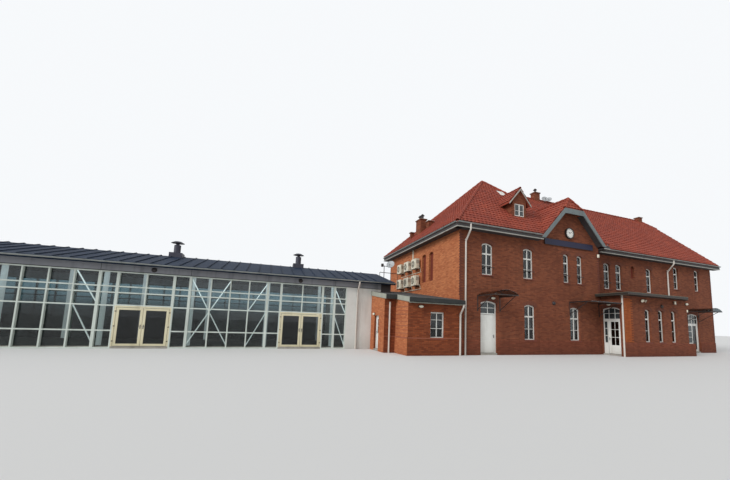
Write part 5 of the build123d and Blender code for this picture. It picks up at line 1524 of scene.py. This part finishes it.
@dataclass
class AirConditioners:
    """Fan grilles, covers, pipes and the upright duct of the units on the left wall."""

    face: float = 0.40
    centres: tuple[float, ...] = (5.425, 6.8, 8.175)
    feet: Span = (4.32, 5.52)
    fan: float = 0.25
    fan_off: float = 0.08
    height: float = 0.7

    def grille(self, bench: Bench, middle: Matrix) -> None:
        """Rings and spokes in front of one fan.

        Args:
            bench: The bench that they go on.
            middle: The fan's place.
        """
        for radius in (0.07, 0.13, 0.19, self.fan):
            inner, outer = around(radius, 0.005)
            ring = [(inner, 0.0), (inner, 0.014), (outer, 0.014), (outer, 0.0), (inner, 0.0)]
            bench.turned(ring, middle, 20)
        for spoke in range(4):
            bench.bar((0.01, 2 * self.fan, 0.008), middle @ turn(45 * spoke, "Z") @ shift(0.0, 0.0, 0.012))

    def build(self) -> None:
        """Everything on the six units, and the duct beside them."""
        dark, grille, cover, lines, duct = (Bench(Wall.LEFT) for _ in range(5))
        for x, foot in ((BLOCK - y, foot) for y in self.centres for foot in self.feet):
            middle = shift(x - self.fan_off, -self.face, foot + self.height / 2) @ turn(90, "X")
            dark.round(self.fan, 0.004, middle, 24)
            self.grille(grille, middle)
            for span, y, low, high, bevel in (
                    (around(x, 0.407), (-self.face - 0.006, -0.115), 0.67, 0.708, SMALL),
                    ((x + 0.2, x + 0.39), (-self.face - 0.005, -self.face + 0.01), 0.05, 0.62, THIN),
                    ((x + 0.39, x + 0.415), (-0.34, -0.2), 0.08, 0.3, SMALL)):
                cover.box(span, y, (foot + low, foot + high), bevel)
            for slot in range(5):
                dark.box((x + 0.385, x + 0.403), (-0.36, -0.16), onward(foot + 0.36 + 0.05 * slot, 0.02))
            bend = (x + 0.47, -0.1, foot + 0.02)
            lines.rod((x + 0.43, -0.25, foot + 0.15), bend, 0.016)
            lines.rod(bend, (x + 0.47, -0.03, foot - 0.25), 0.016)
        for foot in self.feet:
            lines.rod((2.6, -0.03, foot - 0.25), (6.2, -0.03, foot - 0.25), 0.022)
        duct.box((4.75, 4.85), (-0.08, 0.0), (6.1, WALL_TOP), BROAD)
        for z in (6.1, 6.55, 7.0):
            duct.box((4.738, 4.862), (-0.09, 0.0), onward(z, 0.04), THIN)
        dark.store("fan_openings", DARK_METAL, Slot.DARK)
        for bench, name in ((grille, "fan_grilles"), (cover, "unit_covers"), (lines, "unit_pipes"),
                            (duct, "upright_duct")):
            bench.store(name, APPLIANCE, Slot.APPLIANCE)


class LampKind(Enum):
    """Kinds of outdoor lamp."""

    OVAL = "oval"
    TWIN = "twin"
    BOX = "box"
    DOME = "dome"


@dataclass
class Lamps:
    """Lamps on the walls, the porch and the hall."""

    places: tuple[tuple[Wall, float, float, LampKind], ...] = (
        (Wall.FRONT, 2.23, 3.25, LampKind.OVAL), (Wall.FRONT, 10.95, 6.63, LampKind.BOX),
        (Wall.FRONT, 6.91, 3.19, LampKind.DOME), (Wall.PORCH_LEFT, 0.6, 3.3, LampKind.OVAL),
        (Wall.PORCH, 12.9, 3.6, LampKind.TWIN), (Wall.PORCH, 16.17, 3.62, LampKind.BOX),
        (Wall.PORCH, 17.57, 3.6, LampKind.OVAL), (Wall.PORCH, 14.84, 3.31, LampKind.DOME),
        (Wall.WING, 22.05, 3.36, LampKind.BOX), (Wall.ANNEX, -2.45, 2.54, LampKind.OVAL),
        (Wall.ANNEX_LEFT, 0.65, 2.14, LampKind.OVAL), (Wall.HALL, -15.4, 3.9, LampKind.DOME),
        (Wall.HALL, -8.23, 3.9, LampKind.DOME))

    plate: tuple[Span, ...] = ((0.0, 0.0), (0.12, 0.0), (0.12, 0.03))
    rim: tuple[Span, ...] = ((0.105, 0.045), (0.0, 0.045))
    bowl: tuple[Span, ...] = ((0.0, 0.042), (0.1, 0.042), (0.092, 0.08), (0.06, 0.105), (0.0, 0.115))
    hood: tuple[Span, ...] = ((0.09, 0.08), (0.04, 0.11), (0.0, 0.115))
    head: tuple[Span, ...] = ((0.0, -0.06), (0.06, -0.06), (0.085, 0.03), (0.1, 0.07), (0.0, 0.075))
    stretch: Span = (1.35, 0.75)

    def oval(self, metal: Bench, cover: Bench, x: float, z: float) -> None:
        """Oval bulkhead lamp.

        Args:
            metal: The bench for the plate.
            cover: The bench for the bowl.
            x: The lamp's place along the wall.
            z: Its height.
        """
        flat = shift(x, 0.0, z) @ turn(90, "X") @ Matrix.Diagonal((*self.stretch, 1.0, 1.0))
        for bench, profile in ((metal, self.plate + self.rim), (cover, self.bowl)):
            bench.turned(profile, flat, 20)

    def dome(self, metal: Bench, cover: Bench, x: float, z: float) -> None:
        """Dark dome on a round plate."""
        metal.turned(self.plate + self.hood, shift(x, 0.0, z) @ turn(90, "X"), 20)

    def box(self, metal: Bench, cover: Bench, x: float, z: float) -> None:
        """Upright box lamp."""
        metal.box(around(x, 0.04), (-0.05, 0.0), around(z, 0.07), SMALL)
        cover.box(around(x, 0.065), (-0.13, -0.045), around(z, 0.11), 0.012)

    def twin(self, metal: Bench, cover: Bench, x: float, z: float) -> None:
        """Two spot heads on one base.

        Args:
            metal: The bench for base and arms.
            cover: The bench for the heads.
            x: The lamp's place along the wall.
            z: Its height.
        """
        metal.box(around(x, 0.06), (-0.07, 0.0), around(z, 0.06), BROAD)
        for side in (-1, 1):
            aim = shift(x + side * 0.15, -0.09, z) @ turn(side * 25, "Z") @ turn(115, "X")
            cover.turned(self.head, aim, 16)
            metal.rod((x + side * 0.04, -0.05, z), (x + side * 0.13, -0.08, z), 0.014)

    def build(self) -> None:
        """All lamps."""
        metal, cover = Bench(), Bench()
        for wall, x, z, kind in self.places:
            metal.frame = cover.frame = wall.frame
            getattr(self, kind.value)(metal, cover, x, z)
        metal.store("lamp_bodies", DARK_METAL, Slot.DARK)
        cover.store("lamp_covers", LAMP, Slot.APPLIANCE, smooth=True)


@dataclass
class EavesTrim:
    """Fascia, pale edge, soffit boards and gutter brackets of the main roof, and pipe collars; the fascia's
    dark tone is painted shade under the gutter, and the soffit's is partly its paint and partly painted
    shade.
    """

    soffit: float = 7.08
    fascia_top: float = 7.285
    edge_height: float = 0.045
    board: float = 0.125
    board_step: float = 0.14
    bracket_step: float = 0.9
    bracket: float = 0.014
    flat: Span = (7.283, 7.293)
    upstand: Span = (7.283, 7.37)
    runs: tuple[tuple[float, float, float, int], ...] = (
        (-0.47, 5.7, -0.47, -1), (11.06, 11.57, -0.47, -1), (11.57, 26.3, 0.33, -1), (-0.47, 26.3, 11.57, 1))

    def run(self, benches: Sequence[Bench], x0: float, x1: float, line: float, side: int) -> None:
        """Trim along X at one stretch of eaves.

        Args:
            benches: The benches for fascia, edge, boards and straps.
            x0: Where the stretch starts.
            x1: Where it ends.
            line: The eaves edge along Y.
            side: Which way along Y is outside.
        """
        fascia, edge, boards, straps = benches
        low = self.soffit + self.edge_height - 0.008

        def out(near: float, far: float) -> Span:
            """Two distances outside the eaves edge, along Y."""
            return (line + side * near, line + side * far)

        fascia.box((x0, x1), out(0.0, 0.022), (low, self.fascia_top))
        edge.box((x0, x1), out(-0.01, 0.04), (self.soffit - 0.012, low))
        for board in range(3):
            inner = -0.02 - self.board_step * board
            boards.box(inside((x0, x1), 0.02), out(inner - self.board, inner), self.board_z)
        for index in range(int((x1 - x0) / self.bracket_step) + 1):
            x = x0 + 0.15 + index * self.bracket_step
            if x < x1:
                straps.box(around(x, self.bracket), out(0.0, 0.14), self.flat)
                straps.box(around(x, self.bracket), out(0.131, 0.14), self.upstand)

    @property
    def board_z(self) -> Span:
        """Both faces of the soffit boards."""
        return (self.soffit - 0.01, self.soffit - 0.001)

    def build(self) -> None:
        """All the trim."""
        benches = fascia, edge, boards, straps = [Bench() for _ in range(4)]
        for stretch in self.runs:
            self.run(benches, *stretch)
        low = self.soffit + self.edge_height - 0.008
        for x, y in (((-0.492, -0.47), (-0.47, 11.57)), ((11.57, 11.592), (-0.47, 0.33))):
            fascia.box(x, y, (low, self.fascia_top))
        for x, y in (((-0.51, -0.46), (-0.51, 11.61)), ((11.56, 11.61), (-0.51, 0.29))):
            edge.box(x, y, (self.soffit - 0.012, low))
        for board in range(3):
            boards.box(onward(-0.45 + self.board_step * board, self.board), (-0.44, 11.54), self.board_z)
        for index in range(13):
            y = around(0.1 + index * self.bracket_step, self.bracket)
            straps.box((-0.61, -0.47), y, self.flat)
            straps.box((-0.61, -0.601), y, self.upstand)
        for bench, name, finish, slot in ((fascia, "eaves_fascia", SOFFIT_PAINT_AND_SHADE, Slot.BOARD),
                                          (edge, "eaves_edge", EDGE_PAINT, Slot.BOARD),
                                          (boards, "soffit_boards", SOFFIT_PAINT_AND_SHADE, Slot.BOARD),
                                          (straps, "gutter_brackets", ZINC, Slot.ZINC)):
            bench.store(name, finish, slot)
        self.collars()

    def collars(self) -> None:
        """Collars that hold the downpipes."""
        bench, tall = Bench(), (0.9, 2.4, 3.9, 5.4, 6.5)
        for x, y, heights in ((0.36, -0.05, tall), (19.9, 0.75, tall), (-4.8, 3.95, (0.9, 2.2, 3.2)),
                              (-0.07, -0.21, (0.9, 2.1)), (-3.55, 1.51, (0.9, 2.2)),
                              (11.05, -1.5, (0.9, 2.2, 3.4))):
            for z in heights:
                bench.round(0.06, 0.035, shift(x, y - 0.0006, z))
        bench.store("pipe_collars", PIPE_PAINT, Slot.ZINC)


@dataclass
class AnnexTrim:
    """Dark gutter face, pale verge boards, roof seams and the fascia over the step."""

    pitch: float = 0.13
    roof_z: float = 3.02
    left: float = -3.24
    seam_start: float = -2.9
    seam_step: float = 0.85
    seams: int = 4

    def height(self, y: float) -> float:
        """Top of the roof at a depth."""
        return self.roof_z + self.pitch * (y + ANNEX_OUT)

    def board(self, bench: Bench, x: float, y: Span) -> None:
        """Sloped board on the left edge of the roof.

        Args:
            bench: The bench that it goes on.
            x: Its right face.
            y: Both its ends.
        """
        corners = ((y[0], 0.25), (y[1], 0.25), (y[1], -0.01), (y[0], -0.01))
        bench.extruded([(x, at, self.height(at) - drop) for at, drop in corners], (-0.03, 0.0, 0.0))

    def build(self) -> None:
        """All the trim."""
        bench = Bench()
        self.board(bench, -3.205, (-0.47, 1.27))
        self.board(bench, -3.885, (1.25, 4.0))
        bench.box((-3.25, 0.0), (-0.475, -0.445), (2.69, 2.745), SMALL)
        bench.store("annex_verge_boards", VERGE_PAINT, Slot.BOARD)
        bench, wide = Bench(), (self.left, 0.0)
        for y, z, bevel in (((-0.605, -0.595), (2.76, 2.955), THIN), ((-0.6, -0.46), (2.745, 2.757), THIN),
                            ((-0.475, -0.455), (2.745, 2.97), 0.0)):
            bench.box(wide, y, z, bevel)
        for x in (self.left, -0.012):
            bench.box(onward(x, 0.012), (-0.6, -0.46), (2.75, 2.94))
        step = self.height(1.26)
        bench.box((-3.88, self.left), (1.235, 1.262), (step - 0.25, step + 0.01), THIN)
        bench.store("annex_gutter_face", DARK_SHEET, Slot.DARK)
        bench = Bench()
        slope, middle = turn(math.degrees(math.atan(self.pitch)), "X"), self.height(3.21)
        for index in range(self.seams):
            x = self.seam_start + self.seam_step * index
            bench.box(around(x, 0.04), (-0.44, 6.86), (middle + 0.001, middle + 0.009), tilt=slope)
        bench.store("annex_roof_seams", MEMBRANE, Slot.SEAM)


@dataclass
class HallTrim:
    """Standing seams and fascia joints of the hall."""

    pitch: float = 0.27
    eaves_z: float = 4.28
    slope_run: float = 3.95
    middles: Span = (5.56, 9.54)
    start: float = -25.4
    length: float = 22.9
    seam_step: float = 0.62
    seam_height: float = 0.035
    bays: int = 6
    bay: float = 3.79

    def build(self) -> None:
        """Seams on both slopes and joints in the fascia."""
        bench, slope = Bench(), math.atan(self.pitch)
        z = self.eaves_z + self.pitch * (self.middles[0] - HALL_BACK) + 0.012
        half = self.slope_run / 2 / math.cos(slope)
        for index in range(int(self.length / self.seam_step)):
            x = around(self.start + index * self.seam_step, 0.012)
            for middle, side in zip(self.middles, (1, -1)):
                bench.box(x, around(middle, half), (z - 0.005, z + self.seam_height), THIN,
                          turn(side * math.degrees(slope), "X"))
        bench.store("standing_seams", SEAM, Slot.SEAM)
        bench = Bench()
        for index in range(self.bays):
            bench.box(around(-6.18 - self.bay * index, 0.008), (3.994, 4.01), (3.74, 4.1))
        bench.box((-25.1, -3.3), (3.985, 4.01), (3.715, 3.745), THIN)
        bench.store("fascia_joints", DARK_SHEET, Slot.FASCIA)


@dataclass
class RoofFittings:
    """Chimney slabs, dishes and masts, dormer boards and window bars, and the porch's metal edge."""

    chimneys: tuple[tuple[float, ...], ...] = (
        (0.95, 7.1, 0.5, 0.85, 9.75), (1.2, 6.1, 0.4, 0.4, 9.412), (0.75, 8.4, 0.26, 0.26, 9.037),
        (11.46, 5.95, 0.56, 0.5, 13.403), (25.1, 5.95, 0.5, 0.45, 13.183))
    slab_out: float = 0.065
    mast_y: float = 6.3
    mast: tuple[tuple[float, ...], ...] = (
        (-2.3, 3.84, -2.3, 5.7, 0.025), (-2.45, 5.7, -2.05, 5.66, 0.02), (-2.62, 5.2, -1.25, 5.2, 0.022),
        (-2.62, 5.2, -2.62, 3.8, 0.018), (-1.25, 5.2, -1.25, 3.98, 0.018))
    porch_corners: tuple[Span, ...] = ((10.6, 0.0), (10.6, -2.2), (16.6, -2.2), (17.6, -1.6), (17.6, 0.8))

    def slabs(self) -> None:
        """Concrete slabs on the chimneys."""
        bench = Bench()
        for x, y, wide, deep, top in self.chimneys:
            bench.box(around(x, wide / 2 + self.slab_out), around(y, deep / 2 + self.slab_out),
                      (top - 0.004, top + 0.03), BROAD)
        bench.store("chimney_slabs", CONCRETE, Slot.CONCRETE)

    def dish(self, bowl: Bench, metal: Bench, foot: Point, height: float, radius: float, aim: float) -> None:
        """Dish on a mast.

        Args:
            bowl: The bench for the reflector.
            metal: The bench for mast and arm.
            foot: Where the mast stands.
            height: Height of the dish's middle above the foot.
            radius: The dish's radius.
            aim: Turn about Z, in degrees.
        """
        x, y, z = foot
        metal.rod(foot, (x, y, z + height + 0.06), 0.02)
        place = shift(x, y, z + height) @ turn(aim, "Z") @ turn(65, "X")
        depth = 0.22 * radius
        bowl.turned([(0.0, 0.0), (0.4 * radius, 0.16 * depth), (0.75 * radius, 0.56 * depth), (radius, depth),
                     (radius, depth + 0.012), (0.72 * radius, 0.56 * depth + 0.014), (0.0, 0.014)],
                    place @ shift(0.0, 0.0, 0.05), 24)
        rim, focus, horn = (place @ Vector((0.0, y, z)) for y, z in
                            ((-0.9 * radius, 0.05 + depth), (-0.1, 0.9 * radius), (-0.05, 0.75 * radius)))
        metal.rod(rim, focus, 0.01)
        metal.rod(focus, horn, 0.028)

    def aerials(self) -> None:
        """Dishes beside the ridge chimney and the mast on the annex."""
        bowl, metal = Bench(), Bench()
        for x, y, radius, aim in ((12.15, 5.6, 0.27, -25.0), (12.85, 5.75, 0.24, -50.0)):
            self.dish(bowl, metal, (x, y, 7.38 + ROOF_PITCH * (y - 0.33)), 0.36, radius, aim)
        self.dish(bowl, metal, (-1.75, 6.4, 3.85), 1.95, 0.3, -40.0)
        for x0, z0, x1, z1, radius in self.mast:
            metal.rod((x0, self.mast_y, z0), (x1, self.mast_y, z1), radius)
        metal.box((-2.52, -2.36), around(self.mast_y, 0.08), (5.62, 5.84), 0.02)
        bowl.store("aerial_dishes", DISH, Slot.ZINC, smooth=True)
        metal.store("aerial_masts", DARK_METAL, Slot.DARK)

    def dormer(self) -> None:
        """Verge boards, window bars and panes of the dormer."""
        bench = Bench()
        for side in (-1, 1):
            outline = [(5.15 + side * run, 0.82, z) for run, z in
                       ((0.0, 10.76), (0.9, 9.68), (0.9, 9.58), (0.0, 10.64))]
            bench.extruded(outline, (0.0, 0.03, 0.0))
        bench.store("dormer_boards", EDGE_PAINT, Slot.BOARD)
        bench = Bench()
        bench.box((5.115, 5.185), (0.965, 1.045), (8.9, 9.7), BROAD)
        bench.box((4.8, 5.5), (0.975, 1.04), (9.24, 9.265), FINE)
        bench.store("dormer_window_bars", WHITE_PAINT, Slot.WHITE)
        bench = Bench()
        bench.box((4.82, 5.48), (0.992, 1.0), (8.94, 9.66))
        bench.store("dormer_panes", DARK_GLASS, Slot.GLASS)

    def porch_edge(self) -> None:
        """Thin metal edge round the porch roof."""
        bench = Bench()
        for start, end in zip(self.porch_corners[:-1], self.porch_corners[1:]):
            for z, wide in ((3.985, 0.03), (3.855, 0.014)):
                bench.rod((*start, z), (*end, z), wide / 1.4, 4)
        bench.store("porch_roof_edge", PORCH_EDGE, Slot.DARK)

    def build(self) -> None:
        """All the fittings."""
        for make in (self.slabs, self.aerials, self.dormer, self.porch_edge):
            make()


@dataclass
class Studio:
    """Floor, lamps, surroundings and camera."""

    position: Point = (-10.028, -15.741, 1.617)
    yaw: float = 0.367
    pitch: float = 0.116
    roll: float = 0.032
    focal: float = 16.243
    shift_x: float = -0.0388
    shift_y: float = 0.0615
    sun: float = 2.2
    sun_aim: Point = (0.82, 0.3, -0.48)
    fill: float = 0.35
    fill_aim: Point = (-0.35, 0.8, -0.48)
    sky: float = 0.5
    sky_colour: Colour = (0.93, 0.95, 0.97)
    floor_colour: Colour = (0.72, 0.72, 0.71)

    def camera(self) -> None:
        """Camera at the photograph's viewpoint."""
        cos, sin = math.cos, math.sin
        ahead = Vector((sin(self.yaw) * cos(self.pitch), cos(self.yaw) * cos(self.pitch), sin(self.pitch)))
        level = Vector((cos(self.yaw), -sin(self.yaw), 0.0))
        over = level.cross(ahead)
        right = cos(self.roll) * level + sin(self.roll) * over
        up = cos(self.roll) * over - sin(self.roll) * level
        data = bpy.data.cameras.new("camera")
        data.sensor_width, data.lens, data.clip_end = 36.0, self.focal, 400.0
        data.shift_x, data.shift_y = self.shift_x, self.shift_y
        camera = add_object("camera", data)
        camera.matrix_world = axes(right, up, -ahead, TO_MODEL @ Vector(self.position))
        bpy.context.scene.camera = camera

    def lights(self) -> None:
        """Broad soft key light from the left and a weaker fill."""
        for name, aim, strength, spread in (("key", self.sun_aim, self.sun, 30.0),
                                            ("fill", self.fill_aim, self.fill, 80.0)):
            data = bpy.data.lights.new(name, "SUN")
            data.energy, data.angle = strength, math.radians(spread)
            add_object(name, data).rotation_euler = Vector(aim).to_track_quat("-Z", "Y").to_euler()

    def surroundings(self) -> None:
        """Pale surroundings, seen plain white by the eye and in reflections."""
        world = bpy.data.worlds.new("surroundings")
        bpy.context.scene.world = world
        world.use_nodes = True
        tree = Tree(world.node_tree)
        path = tree.node("LightPath").outputs
        seen = tree.math("MAXIMUM", path["Is Camera Ray"], path["Is Glossy Ray"])
        seen = tree.math("MAXIMUM", seen, path["Is Transmission Ray"])
        strength = tree.math("MULTIPLY_ADD", seen, 1.0 - self.sky, self.sky)
        tree.feed(world.node_tree.nodes["Background"], {"Color": self.sky_colour, "Strength": strength})

    def floor(self) -> None:
        """Wide pale floor that keeps the building's shadow."""
        mesh = bmesh.new()
        bmesh.ops.create_grid(mesh, x_segments=1, y_segments=1, size=150.0, matrix=shift(0.0, 0.0, -0.002))
        floor = add_object("floor", mesh_data("floor", mesh))
        material = bpy.data.materials.new("Floor")
        material.use_nodes = True
        shader = material.node_tree.nodes["Principled BSDF"]
        Tree(material.node_tree).feed(shader, {"Base Color": self.floor_colour, "Roughness": 0.9})
        floor.data.materials.append(material)

    def build(self) -> None:
        """The whole studio."""
        for make in (self.camera, self.lights, self.surroundings, self.floor):
            make()
        bpy.context.scene.view_settings.view_transform = "Standard"


def dress_nodes() -> None:
    """Give every CAD node its finish."""
    for finish, names in NODE_FINISH.items():
        for slot in (slot for name in names for slot in frame["nodes"][name].material_slots):
            slot.material = finish.material()
    missing = set(frame["nodes"]) - {name for names in NODE_FINISH.values() for name in names}
    if missing:
        LOG.warning("no finish: %s", sorted(missing))


def main() -> None:
    """Build the studio and every sub-assembly."""
    logging.basicConfig(level=logging.INFO, format="%(message)s")
    Studio().build()
    dress_nodes()
    for part in (WindowJoinery(), DoorJoinery(), BrickTrim(), GableFace(), RoofTiles(), EavesTrim(),
                 RoofFittings(), AirConditioners(), Lamps(), AnnexTrim(), HallTrim()):
        LOG.info("%s", type(part).__name__)
        part.build()


if __name__ == "__main__":
    main()
